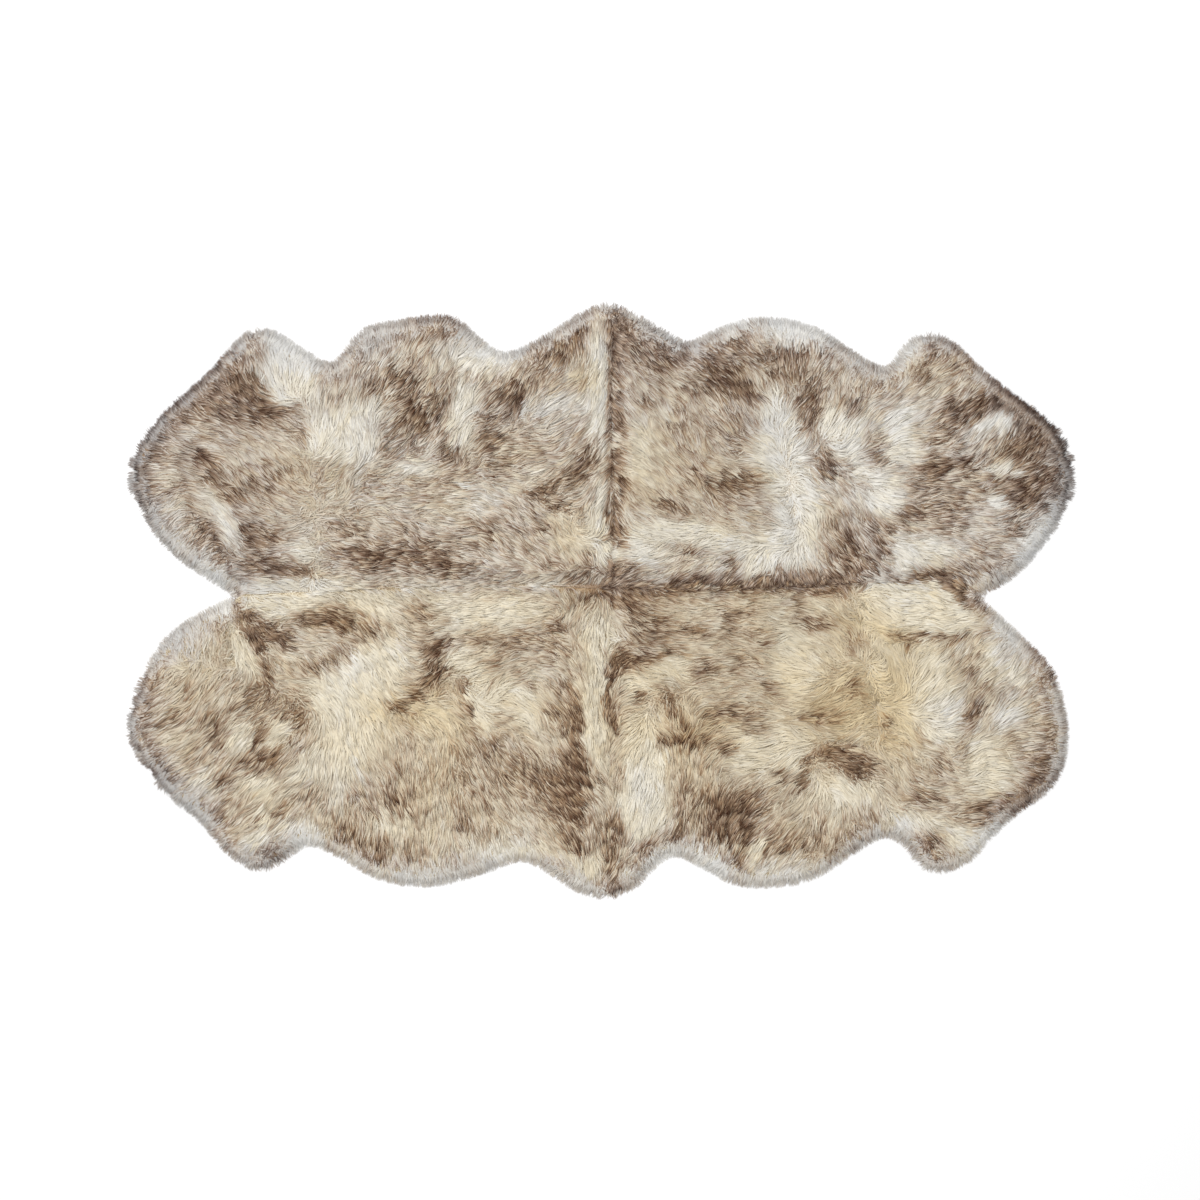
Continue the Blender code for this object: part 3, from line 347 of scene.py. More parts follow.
    (-47.5, -43, 2.5, 1.5, 80, .35), (-46.5, -46, 4, 3, 0, .25), (-62, -48, 1.6, 1.2, -40, .6),
    (-69.5, -46.5, 2, 1.5, -60, .45), (-86.5, -16, 2.5, 1.5, 70, .45), (-88, -20, 1.5, .8, 70, .3),
    (-84, -33.5, 2.2, 1.5, -50, .35), (-82.5, -36, 1.5, 1, -50, .35), (-62.5, -1, 6, 1.2, -5, -.6),
    (-66.5, -10.5, 4, 1.5, 110, -.5), (-67.5, -25.5, 2.3, 1.8, -30, -.35), (-66.5, -27.5, 1.5, 1, 0, -.4),
    (-60.5, -24.3, 1.5, .7, 5, -.5), (-61.8, -27.3, 1.5, .8, 20, -.5), (-64, -35.2, 1.5, .8, -20, -.6),
    (-63, -40.7, 1.2, .9, 0, -.5), (-77, -36.5, 4, 2.5, 30, -.35), (-61, -26, 8, 6, 0, .06),
    (-48, -18, 6, 5.5, 0, -.6), (-44, -14.5, 4, 1.5, 20, -.5), (-79, -7.5, 4, 3, 50, -.2),
    (-72, -1.5, 3, 1.2, 20, -.3), (-66, -45.5, 3, 2, 20, -.4), (-55.5, -44.5, 4, 2, 0, -.45),
    (-56, -32.5, 2, 1.5, 0, -.4), (-49, -30, 6, 4, 90, -.25),
    # front left, inner half
    (-33.5, -3, 2.5, 2.5, -50, .4), (-31.3, -10, 2.5, 1.2, 70, .65), (-30.5, -13, 2.5, 2, 60, .55),
    (-33, -15.5, 2.5, 1, 70, .45), (-35.5, -18.7, 2, .7, 35, .45), (-37.5, -20.5, 3, .6, -20, .5),
    (-28.5, -8.5, 1.5, .7, 10, .4), (-18, -7.5, 9, 1.6, -2, .3), (-8.3, -6, 2.2, 1, -70, .5),
    (-8, -10.5, 2, 1, -10, .5), (-25.7, -16.5, 1.5, .5, 80, .9), (-24.5, -21, 1, .4, -45, .8),
    (-20.8, -17, 1.5, .6, 75, .5), (-13, -16.5, 2, .5, -50, .4), (-11, -16.5, 1.5, .4, -10, .35),
    (-6.5, -16.7, .8, .8, 0, .5), (-4.8, -21, 2.5, 1.5, -70, .5), (-4, -24.5, 2, .9, 80, .7),
    (-8.5, -21.5, 2.5, 2.5, -50, .3), (-4.8, -30, 3, 1.2, -80, 1.1), (-4.5, -32.5, 3, 2.5, -60, 1),
    (-7.5, -33.5, 2.5, 1.5, -30, .6), (-11, -35, 2.5, 1.2, -25, .55), (-7, -38, 2.5, 2, -45, .65),
    (-4.3, -36.5, 3, 1, 80, .8), (-5, -41.5, 2.5, 2, -60, .65), (-14, -31, 2.5, 2, -40, .25),
    (-20, -31.5, 6, 5, -50, .25), (-22.5, -27.5, 3, 2.5, -50, .2), (-27.5, -28.5, 3, 2, -60, -.02),
    (-5, -45.5, 2.5, .9, -10, .5), (-4, -47, 1, 1, 0, .4), (-26, -43, 2.5, 1.3, 75, .35),
    (-37.3, -35.5, 2.5, 2, 80, .4), (-38.5, -38.5, 3, 1.5, -10, .35), (-41.3, -47, 2.2, 1.3, -75, .5),
    (-36, -47.5, 2, 1.2, -45, .3), (-22.5, -17.5, 3.2, 1.5, -75, -1.3), (-21.8, -20.5, 1.3, 1.3, 0, -.9),
    (-21.5, -23.5, 1.5, 1, 90, -.5), (-18, -17, 2.5, 2, 0, -.4), (-12.5, -17.5, 1.6, 1.5, 0, -.7),
    (-13, -22.5, 2, 2, 0, -.5), (-27, -11.5, 2, 1.8, 0, -.55), (-20, -1.5, 8, 2, -3, -.4),
    (-42, -11.5, 4, 3, 20, -.6), (-44, -16, 3, 3, 0, -.5), (-31, -21.5, 3.5, 2.5, -10, -.3),
    (-.8, -8, 4, 1.5, 95, -.6), (-.5, -17, 4, 1.3, 88, -.6), (-1, -24, 5, 1.3, 93, -.6),
    (-.8, -30, 3, .7, -60, -.25), (-17, -47.5, 8, 1.8, 5, -.5), (-3, -50.5, 3, 2, -20, -.45),
    (-34, -51.5, 9, 1.5, -3, -.3), (-40, -42.5, 3, 1.2, -10, -.35), (-44.5, -24, 4, 3, 90, -.35),
    (-25.5, -5.5, 5, 2, 0, -.22), (-33.5, 1, 4, 1.5, 0, -.18), (-20, -.5, 6, 1.5, 0, .1),
    (2, -4.5, 4, 3, 0, .2), (0, -37.5, 6, 2.5, 90, .1),
    # front right, inner half; the marks of its first three lines that lie on the cross seam are partly
    # painted shade of its valley
    (4.5, -11.4, 1.6, 1.1, -20, 1.3), (3.3, -12.5, 1, .6, 45, .9), (8, -10.5, 3.5, .7, 10, .6),
    (1.7, -14.8, 1.3, .7, 80, 1), (1.3, -17.5, 1.5, .5, 80, .8), (1.5, -20.5, 1.5, .7, -80, .8),
    (2, -23, 1.2, .6, -70, .8), (3.3, -25, .8, .3, -40, .6), (7, -2.2, 3, 1.2, -35, .7),
    (4, 0, 3, .7, -15, .6), (8, -7, 2.5, 2, -40, .25), (13, -18.5, 1.2, .7, -70, .75),
    (13.5, -21.5, 1.2, .5, -40, .6), (16, -23.5, 1.5, .4, -60, .6), (7, -18.6, .8, .4, 0, .7),
    (17.5, -26.5, 2.5, .9, 0, .55), (12.2, -26, .7, .7, 0, .5), (14.3, -26, .7, .5, 0, .5),
    (23.5, -27.8, 1.2, .6, 10, .5), (22.5, -21, 3, 1, 10, .45), (27, -21.8, 2, 1, 0, .5),
    (28.5, -24.3, 2, .7, 0, .35), (26.5, -2.6, 2.2, .8, 8, .25), (17.5, -5.8, 1.8, .6, 0, .55),
    (12, -5.5, 1, 1, 0, .3), (25, -5.3, 2, .6, 0, .3), (31.5, -7.3, 1.5, 1.5, 40, .45),
    (27, -11.5, 2, 1.2, 0, .35), (30.8, -12, 1, 1, 0, .3), (19.5, -13, 1.5, .9, 0, .4),
    (31.5, -15.8, 2, 1.3, 0, .4), (37.5, -1.5, 1.5, .8, 80, .3), (40.3, -4.5, 2.2, .6, -5, .55),
    (41, -.5, 3, 1.5, 0, -.2), (40.5, -22, 1.5, .7, -10, .45), (42, -20.5, 3, 1.5, 10, .12),
    (44.5, -29, 2.5, 1.4, -15, .7), (47, -31.5, 2, 1.5, -40, .6), (40, -29.5, 2, .5, 25, .5),
    (38, -32.5, 2, .5, 60, .5), (37.2, -34.3, 1, .6, 70, .7), (34, -33, 1, .4, -30, .5),
    (26.5, -38.5, 2.2, 2, 20, 1), (28.5, -37.5, 2, 1.2, 0, .5), (22, -39.5, 2.5, 2.5, 80, .85),
    (26.5, -43.5, 1.5, 1.2, 0, 1.1), (24, -42, 3.5, 2.5, 0, .85), (21, -44.5, 2.5, 1.5, 0, .4),
    (26.2, -48, 2.5, .8, 85, .6), (28.5, -45, 1.5, 1, 30, .4), (16.5, -38, 3, 1.5, 85, .3),
    (14.7, -43.5, 1, .8, 30, .5), (33.5, -44.5, 2, 1.5, 45, .4), (36, -46.5, 3, 1, 30, .45),
    (31.5, -47, 1.8, .5, 60, .4), (40, -44, 2, 1, 80, .3), (2.5, -42.7, 1, 1, 0, 1),
    (3, -46, 2.5, 1, 80, .5), (1.8, -50, 3, .6, -75, .45), (2.5, -54.5, 1.5, 1.2, 0, .6),
    (9, -46, 1.5, 1, 30, .5), (4, -33, 1.8, 1, 80, .4), (7.5, -25, 2.5, 2, 80, -.5),
    (7.8, -33, 3.5, 2.3, 88, -1.4), (8, -39.3, 3, 2.4, 80, -1.6), (7, -15.5, 2.5, 1.5, 0, -.4),
    (13.5, -13, 3, 1.5, 0, -.4), (36, -13.5, 3, 2.5, -20, -.5), (36.5, -7.5, 3, 2, -30, -.4),
    (28, -29.5, 3, 2, 0, -.5), (36, -27, 4, 2, -10, -.5), (35.5, -31, 2, 1.5, 0, -.35),
    (43, -36, 3.5, 2.5, 0, -.25), (28.5, -26.5, 2, .6, -5, -.5), (2, -6, 3, 2.5, 80, -.4),
    (12, -49, 3, 1.5, 45, -.5), (20, -49, 3.5, 1.4, -40, -.5), (33, -51, 8, 1.8, 0, -.4),
    (29, -47.7, 1.5, .9, 20, -.4), (44, -48, 3, 1.5, 25, -.3), (5.7, -51.3, 1, 1, 0, -.5),
    (40.5, -19, 7, 4, 0, -.12), (14, -26.5, 5, 4, 0, -.12), (33, -9, 12, 6, 0, -.08),
    # front right, outer half
    (48, -7, 3, 2, -60, .3), (56.5, -7.2, 2, .5, -20, .4), (61, -6.5, 2.5, .3, 3, .4),
    (66, -6.8, 2, .3, -5, .35), (69, -6.5, 1.5, .5, 30, .3), (50, -5, 4, 1.8, 0, -.3),
    (47.5, -16.5, 2, 1.3, -45, .4), (43.5, -22, 1.5, 1, 0, .15), (47, -29.5, 3, 1.5, -30, .65),
    (49, -31.3, 2.5, 1.2, -10, .6), (50.8, -32.5, 1.5, 1.2, -40, .4), (54, -23.8, 1.2, .7, 0, .35),
    (57.3, -24.5, 1.5, 1, 0, -.15), (60.5, -25.5, 1, .6, -60, .4), (60.5, -37, 2, 1.6, -30, .55),
    (70.5, -20.5, 1.2, .7, 30, .65), (69, -22.5, 3, .8, 80, .3), (67.5, -28, 1.5, 1, -30, .35),
    (63.5, -31.5, 2.5, 2, 85, .25), (70, -11.5, 2.5, .8, 80, .3), (73, -16, 2, 1.5, 50, .25),
    (72.5, -39, 3, .7, 5, .5), (71, -41.5, 3, 1, -10, .4), (76, -38.5, 2, 1, -50, .3),
    (62, -46, 1.8, 1.8, -50, .55), (60.5, -48.5, 2, 1, -60, .3), (82, -29.5, 4, 2.2, -10, .45),
    (83, -33.5, 3, .9, 15, .8), (80, -37.5, 2.3, 1, 40, 1.1), (85, -14.7, 1.2, 1.2, 50, .6),
    (82, -10, 1.5, 1, -50, .45), (81, -8.7, 1, .7, -50, .4), (87.5, -22, 3, .8, 100, .25),
    (84.5, -25, 3, 2, 0, .2), (47, -45, 2, 1.5, -60, .25), (44, -47.5, 2, 1.5, 60, .3),
    (50.5, -40.5, 1.5, 1.5, 60, .3), (60, 1, 8, 2.6, 0, -.85), (55, -2, 4, 1.5, 0, -.5),
    (64, -2.5, 5, 2.5, -10, -.8), (60.5, -20.5, 3, 2.2, 95, -.9), (64, -21.5, 4, 3, 80, -.7),
    (62, -14, 3, 2, 80, -.5), (72.8, -10.5, 1.5, 1.2, 90, -.5), (78, -21, 2, 1.5, 30, -.45),
    (71.5, -27.5, 3, 1, 5, -.4), (73, -32.5, 3.5, 3, 80, -.45), (58, -42, 6, 1.8, -5, -.5),
    (69.5, -46, 3.5, 2.2, 15, -.3), (78, -13, 3, 2.5, 0, -.3), (76, -6, 4, 2, -35, -.3),
    (48, -36, 4, 3, 0, -.35), (88.5, -21, 2, 4, 0, -.4), (87.5, -28, 2, 3.5, -10, -.35),
    (81, -3.5, 5, 1.5, -38, -.3), (72, -43.5, 5, 1.5, 25, -.3), (55, -12, 7, 6, 0, -.28),
    (71.5, -21, 4, 5, 0, -.12), (55, -27, 9, 5, 0, -.08),
]

# Patches of tint, in the same columns. Plus is yellower, minus is cooler and greyer.
tintMarks = [
    (-56, 22, 7, 6, 0, .5), (-50, 4.5, 3, 1, -15, .4), (-3, 41.5, 1.8, 1.2, 0, .9), (-5, 11, 4, 4, 0, .4),
    (7.5, 30, 4, 4, 0, .4), (7, 23, 4, 4, 0, .3), (27, 22.5, 7, 2, 8, .35), (61, 44, 3, 4, 60, .3),
    (-77, -16, 7, 6, 0, .35), (-34, -20, 12, 7, 0, .45), (-47, -4, 4, 2, -10, .5), (-33, -3, 3, 3, 0, .4),
    (-31, -33, 5, 12, 0, .3), (-3, -15, 2, 7, 0, .4), (48, -4, 5, 3, -20, .7), (54, -17, 8, 6, 0, .9),
    (56, -26, 5, 4, 0, .7), (46, -22, 5, 4, 0, .7), (44, -13, 5, 4, 0, .5), (-80, -10, 7, 5, 60, -.35),
    (-75, -38, 8, 5, -45, -.35), (-62, -48, 5, 3, 0, -.4), (-66, 47, 4, 4, 0, -.2),
    (80, 37, 6, 3, -40, .6), (87, 29, 3, 6, 0, .5), (56, -7, 3, 1.5, -15, .8), (20, -24, 6, 5, 0, .5),
    (60, 0, 8, 3, 0, 0.05), (5, -25, 5, 5, 0, .4), (16, -32, 6, 8, 0, .3), (-65, -38, 7, 5, 0, .3),
    (64, -21, 4, 5, 80, -.5), (8, -36, 7, 3, 88, -.5), (-22.5, -18, 3, 1.5, -75, -.5),
    (35, 22, 3.5, 13, 5, -.3), (-58.5, 43, 4, 6, 10, -.1), (-44, -14, 5, 4, 20, -.4),
    (75, 33, 2, 2, 0, -.2), (75, 19, 2, 2, 0, -.15), (78, -21, 3, 2, 30, -.4),
    (30, 3.3, 26, 1.5, 0, -.35), (2.7, 40, 14, 1.5, 90, -.3), (40.5, -19, 7, 4, 0, .35),
    (15, -26.5, 4, 3, 0, .2), (81, -30, 5, 5, 0, -.25), (-6, 2, 7, 1.2, 3, -.4),
    (-39.5, 24.5, 5, 4, 0, .15), (-19.5, 10.5, 3, 3, 0, .2), (-8, 20, 30, 14, 0, .2),
    (32, 10, 14, 14, 0, .2), (10, -15, 14, 18, 0, .15), (32, -20, 14, 16, 0, .25),
]

# The neck ends, where the wool keeps its brown out to the tips, in the same columns.
neckMarks = [
    (-88, 27, 17, 9, 80, 1.2), (90, 28, 14, 9, 95, 1.3), (-85, -26, 16, 9, 110, .9),
    (90, -22, 14, 7, 85, .15),
]

# Stretches of the rim whose very tips are brown, in the same columns.
brownRimMarks = [
    (82, 37, 10, 3.5, -42, .75), (89, 29, 4, 2.5, -60, .35), (84.5, -14, 4, 2.5, -60, 1),
    (81, -37, 4, 2.5, 40, 1.2), (-88, 24, 6, 3, 85, .1), (-84, 35, 6, 3, 50, .25), (-76, 43, 6, 3, 45, .3),
    (-62, -49, 3, 2.5, 0, .8), (26, -50, 4, 3, 0, .6), (3, 57, 4, 3, 0, .8), (2, -56, 2.5, 3, 0, .8),
    (-31, 54, 5, 2.5, 0, .4), (28, 52, 4, 2, 20, .5),
]

# Where the paler and yellower wool of the front pelts ends: x, and y there.
frontBorder = ((-0.7, 0.0, 0.7), (0.01, 0.02, 0.03))

# Layers of noise are given by amount, size in metres and seed.
tone = {
    "middle": 0.29,  # how brown the tips are away from any patch
    "strength": 0.96,  # of the patches
    "narrow": 0.5,  # how much stronger the patches under a centimetre wide are
    "falloff": 0.85,  # of a patch, in its exponent
    "soft": 0.3,  # centimetres added to a patch's half sizes
    "wobbleX": [(0.45, 0.028, 11), (0.30, 0.012, 13)],  # of the patches' edges, in centimetres
    "wobbleY": [(0.45, 0.028, 12), (0.30, 0.012, 14)],
    "mottle": [(0.06, 0.060, 21), (0.13, 0.022, 22)],  # of the brown
    "mottled": (-0.1, 0.5),  # brownness over which the mottling sets in
    "frontPaler": 0.04,  # how much paler the front pelts are
    "wander": [(0.55, 0.085, 24), (0.35, 0.030, 25)],  # of the pale rim's breadth
    "narrowest": 0.35,  # breadth of the pale rim over its mean
    "rimFade": (0.0056, 0.0532),  # depth inside the tips over which the rim's coolness, its painted shade, ends
    "bandOut": (0.004, 0.018),  # depth over which the browner band inside the rim, partly painted shade, sets in
    "bandIn": (0.032, 0.065),  # and ends
    "neckOut": 0.005,  # how much nearer the tips it sets in at the neck ends
    "rimBrownAndShadeBand": 0.16,  # how much browner that band is, partly as painted shade of the rim's roll
    "neckDark": 0.40,  # and how much browner still at the neck ends, partly as painted shade
    "tints": 0.8,  # strength of the patches of tint
    "clouds": [(0.15, 0.070, 23)],  # of tint
    "rimShadeCool": 0.58,  # how much cooler and greyer the rim is, as painted shade of its sloping sides
    "frontTint": 0.22,  # how much yellower the front pelts are
    "backTint": -0.06,  # and the back ones
    "neckShadeCool": 0.45,  # how much cooler the neck ends are at the tips, as painted shade
    "neckFade": (0.030, 0.080),  # depth over which that ends
    "rows": 16,  # steps of tint in the colour map
}


# A Catmull-Rom curve through the marks, in equal steps near the pitch.
def curveThrough(marks, pitch):
    p = np.array(marks, float)
    p = np.vstack([2 * p[0] - p[1], p, 2 * p[-1] - p[-2]])
    steps = 16  # of each span, before the path is cut into equal steps
    t = np.arange(steps)[:, None] / steps
    spans = [
        0.5 * (2 * b + (c - a) * t + (2 * a - 5 * b + 4 * c - d) * t**2 + (3 * b - a - 3 * c + d) * t**3)
        for a, b, c, d in zip(p, p[1:], p[2:], p[3:])
    ]
    path = np.vstack([*spans, p[-2:-1]])
    run = np.concatenate([[0], np.cumsum(np.linalg.norm(np.diff(path, axis=0), axis=1))])
    at = np.linspace(0, run[-1], max(2, round(run[-1] / pitch)) + 1)
    return np.column_stack([np.interp(at, run, path[:, 0]), np.interp(at, run, path[:, 1])]) + packedShift


# The grid over the rug that holds every field.
cell = 0.005
gridLow, gridSpan = np.array([-0.950, -0.630]), (1.900, 1.260)
gridX, gridY = np.meshgrid(*(
    np.arange(low, low + span + cell / 2, cell) for low, span in zip(gridLow, gridSpan)
))


# The bilinear blend of the four values at columns i, nextI and rows j, nextJ, by the shares u and v.
def blend(values, i, j, nextI, nextJ, u, v):
    low = values[j, i] * (1 - u) + values[j, nextI] * u
    high = values[nextJ, i] * (1 - u) + values[nextJ, nextI] * u
    return low * (1 - v) + high * v


# A field's value between the points of its grid, whose step is given in cells.
def valueAt(values, x, y, step=1):
    u = np.clip((x - gridLow[0]) / cell / step, 0, values.shape[1] - 1.001)
    v = np.clip((y - gridLow[1]) / cell / step, 0, values.shape[0] - 1.001)
    i, j = u.astype(int), v.astype(int)
    return blend(values, i, j, i + 1, j + 1, u - i, v - j)


# Distance from each place to the nearest stretch of the path, a block of places at a time.
def distanceTo(path, x, y):
    start, run = path[:-1], np.diff(path, axis=0)
    size = (run**2).sum(axis=1)
    flatX, flatY = x.ravel(), y.ravel()
    found = np.empty(flatX.shape)
    block = 8000
    for first in range(0, len(flatX), block):
        dx = flatX[first : first + block, None] - start[:, 0]
        dy = flatY[first : first + block, None] - start[:, 1]
        share = np.clip((dx * run[:, 0] + dy * run[:, 1]) / size, 0, 1)
        away = (dx - share * run[:, 0]) ** 2 + (dy - share * run[:, 1]) ** 2
        found[first : first + block] = np.sqrt(away.min(axis=1))
    return found.reshape(x.shape)


# Whether each place is inside the closed loop: an odd number of its edges crosses a ray to +X.
def insideLoop(loop, x, y):
    odd = np.zeros(x.shape, bool)
    for p, q in zip(loop, np.roll(loop, -1, axis=0)):
        if p[1] != q[1]:
            spans = (p[1] > y) != (q[1] > y)
            odd ^= spans & (x < p[0] + (y - p[1]) * (q[0] - p[0]) / (q[1] - p[1]))
    return odd


# Smooth noise from -1 to 1: random values on a lattice, blended by the smoother step.
def softNoise(x, y, size, seed):
    lattice, shift = 256, 100
    values = np.random.default_rng(seed).uniform(-1, 1, (lattice, lattice))
    u, v = x / size + shift, y / size + shift
    i, j = np.floor(u).astype(int), np.floor(v).astype(int)
    u, v = u - i, v - j
    u, v = u**3 * (u * (u * 6 - 15) + 10), v**3 * (v * (v * 6 - 15) + 10)
    return blend(values, i % lattice, j % lattice, (i + 1) % lattice, (j + 1) % lattice, u, v)


# The sum of layers of soft noise over the grid.
def noiseLayers(layers):
    return sum(amount * softNoise(gridX, gridY, size, seed) for amount, size, seed in layers)


# The smooth step from 0 below low to 1 above high.
def ramp(low, high, value):
    t = np.clip((value - low) / (high - low), 0, 1)
    return t * t * (3 - 2 * t)


seamPitch, rimPitch = 0.010, 0.009
seams = {name: curveThrough(marks, seamPitch) for name, marks in seamMarks.items()}
rims = {name: curveThrough(marks, rimPitch) for name, marks in rimMarks.items()}
for name in pelts:
    along, across = name.split("_")
    rims[name][0], rims[name][-1] = seams[along][-1], seams[across][-1]
rugLoop = np.vstack([
    rims["back_left"][:-1], rims["front_left"][::-1][:-1],
    rims["front_right"][:-1], rims["back_right"][::-1][:-1],
])
closedLoop = np.vstack([rugLoop, rugLoop[:1]])

# Depth inside the line of the tips, and distance to the seams.
tipDepth = distanceTo(closedLoop, gridX, gridY) * np.where(insideLoop(rugLoop, gridX, gridY), 1, -1)
seamAway = np.min([distanceTo(seam, gridX, gridY) for seam in seams.values()], axis=0)
depthY, depthX = np.gradient(tipDepth, cell)
print("outline and seams measured")


# Distance to a pelt's seams, plus on the pelt's side and minus beyond.
def peltSide(name):
    along, across = name.split("_")
    crossY = np.vstack([seams["front"][::-1], seams["back"][1:]])
    longX = np.vstack([seams["left"][::-1], seams["right"][1:]])
    right = gridX > np.interp(gridY, crossY[:, 1], crossY[:, 0])
    back = gridY > np.interp(gridX, longX[:, 0], longX[:, 1])
    own = (right == (across == "right")) & (back == (along == "back"))
    return np.where(own, seamAway, -seamAway)


sides = {name: peltSide(name) for name in pelts}


# The same lumps as in the part, from the same noise, on a coarse grid that is then blended.
def lumps():
    step = 3  # cells
    coarseX, coarseY = gridX[::step, ::step], gridY[::step, ::step]
    x, y = coarseX.ravel() - packedShift[0], coarseY.ravel() - packedShift[1]
    total = np.zeros(len(x))
    for layer, kind in enumerate(("lump", "tuft")):
        height, size = fleece[kind + "Height"], fleece[kind + "Size"]
        places = np.column_stack([x / size, y / size, np.full(len(x), layer)]).tolist()
        total += height * np.array([noise.noise(Vector(place)) for place in places])
    return valueAt(total.reshape(coarseX.shape), gridX, gridY, step)


# The wool's top: a crown that rolls down at the rim as a quarter circle, dips along seams and folds,
# and ends in the slope of the last locks.
def woolTop():
    inward = np.clip((tipDepth - fleece["lockLength"]) / fleece["rimRoll"], 0, 1)
    roll = np.sqrt(1 - (1 - inward) ** 2)
    valley = 0.5 + 0.5 * np.cos(np.pi * np.clip(seamAway / fleece["seamRoll"], 0, 1))
    dips = []
    for x, y, toX, toY, halfWidth, depth in foldMarks:
        line = np.array([(x, y), (toX, toY)]) + packedShift
        dips.append(depth * np.exp(-((distanceTo(line, gridX, gridY) / halfWidth) ** 2)))
    dips = np.array(dips)
    fold = dips.clip(0).max(axis=0) + dips.clip(None, 0).min(axis=0)
    crown = fleece["pile"] - fleece["rimHeight"] - (fleece["pile"] - fleece["seamHeight"]) * valley
    crown = crown - fold + lumps() * (1 - fleece["seamEven"] * valley)
    slope = np.clip(tipDepth / fleece["lockLength"], fleece["tipThick"], 1)
    return fleece["rimHeight"] * slope + crown * roll


topHeight = woolTop()
underHeight = topHeight - fleece["underDepth"] * ramp(*fleece["underFade"], tipDepth) - fleece["underDrop"]
underHeight = np.maximum(underHeight, fleece["least"])
print("wool height worked out")


# Sum of soft ellipses, each exp(-falloff e) with e the squared distance in its own half sizes.
def patchSum(marks, narrow=0.0):
    x = (gridX - packedShift[0]) * 100 + noiseLayers(tone["wobbleX"])
    y = (gridY - packedShift[1]) * 100 + noiseLayers(tone["wobbleY"])
    total = np.zeros(gridX.shape)
    for middleX, middleY, length, width, turn, amount in marks:
        c, s = np.cos(np.radians(turn)), np.sin(np.radians(turn))
        along = ((x - middleX) * c + (y - middleY) * s) / (length + tone["soft"])
        across = ((y - middleY) * c - (x - middleX) * s) / (width + tone["soft"])
        total += amount * (1 + narrow * (width < 1)) * np.exp(-tone["falloff"] * (along**2 + across**2))
    return total


front = gridY < np.interp(gridX, *frontBorder)
brownness = tone["middle"] + tone["strength"] * patchSum(toneMarks, tone["narrow"])
brownness += noiseLayers(tone["mottle"]) * ramp(*tone["mottled"], brownness)
brownness -= tone["frontPaler"] * front
# the pale rim is broad in places and narrow in others
paleDepth = tipDepth / (1 + noiseLayers(tone["wander"])).clip(tone["narrowest"])
neckEnds = np.clip(patchSum(neckMarks), 0, 1)
brownRims = np.clip(patchSum(brownRimMarks), 0, 1)
# a browner band inside the rim, partly the wool's own brown and partly painted shade of its roll, stronger
# at the neck ends
rimBrownAndShadeBand = ramp(*tone["bandOut"], paleDepth + tone["neckOut"] * neckEnds)
rimBrownAndShadeBand *= 1 - ramp(*tone["bandIn"], tipDepth)
brownness += rimBrownAndShadeBand * (tone["rimBrownAndShadeBand"] + tone["neckDark"] * neckEnds)
tint = tone["tints"] * patchSum(tintMarks) + noiseLayers(tone["clouds"])
# painted shade at the rim: the wool turns cooler and greyer out to its tips
tint -= tone["rimShadeCool"] * (1 - ramp(*tone["rimFade"], paleDepth))
tint += np.where(front, tone["frontTint"], tone["backTint"])
# and painted shade at the neck ends' tips, cooler still
tint -= tone["neckShadeCool"] * neckEnds * (1 - ramp(*tone["neckFade"], tipDepth))
print("tone worked out")


lieSizes = {
    "spread": 0.022,  # metres round a stroke where it hardly weakens
    "astray": 0.15,  # radians that the wool lies astray where the strokes agree
    "tousled": 1.7,  # and how many more where they are opposed
    "swings": [(1.0, 0.024, 41), (0.5, 0.012, 42)],  # layers of noise in that
    "outwards": 0.85,  # how much the lie turns outwards at the tips
    "outwardsFade": (0.012, 0.055),  # depth over which that ends
    "parting": (5, 28),  # how much the lie spreads, a metre, where the wool turns loose
}


# The lie of a pelt's wool as a unit vector: its strokes, each weighed by 1 / (distance^2 + spread^2)^2,
# turned outwards near the tips. The third field is how loosely the wool stands, to cover a parting.
def lieOf(name):
    sumX, sumY, total = np.zeros(gridX.shape), np.zeros(gridX.shape), np.zeros(gridX.shape)
    for x, y, turn in lieStrokes[name]:
        away = (gridX - x / 100 - packedShift[0]) ** 2 + (gridY - y / 100 - packedShift[1]) ** 2
        weight = 1 / (away + lieSizes["spread"] ** 2) ** 2
        sumX += weight * np.cos(np.radians(turn))
        sumY += weight * np.sin(np.radians(turn))
        total += weight
    size = np.hypot(sumX, sumY) + 1e-9
    # where the strokes disagree, the wool lies in a tousled parting and not in a neat star
    astray = lieSizes["astray"] + lieSizes["tousled"] * (1 - np.clip(size / total, 0, 1))
    swing = astray * noiseLayers(lieSizes["swings"])
    turnedX = sumX * np.cos(swing) - sumY * np.sin(swing)
    turnedY = sumX * np.sin(swing) + sumY * np.cos(swing)
    outwards = lieSizes["outwards"] * (1 - ramp(*lieSizes["outwardsFade"], tipDepth))
    lieX = turnedX / size * (1 - outwards) - depthX * outwards
    lieY = turnedY / size * (1 - outwards) - depthY * outwards
    size = np.hypot(lieX, lieY) + 1e-9
    lieX, lieY = lieX / size, lieY / size
    spreads = np.gradient(lieX, cell)[1] + np.gradient(lieY, cell)[0]
    return lieX, lieY, ramp(*lieSizes["parting"], spreads)


# sRGB hex to linear: the standard's own curve.
def hexColour(text):
    parts = np.array([int(text[i : i + 2], 16) / 255 for i in (1, 3, 5)])
    linear = np.where(parts <= 0.04045, parts / 12.92, ((parts + 0.055) / 1.055) ** 2.4)
    return (*linear.tolist(), 1.0)


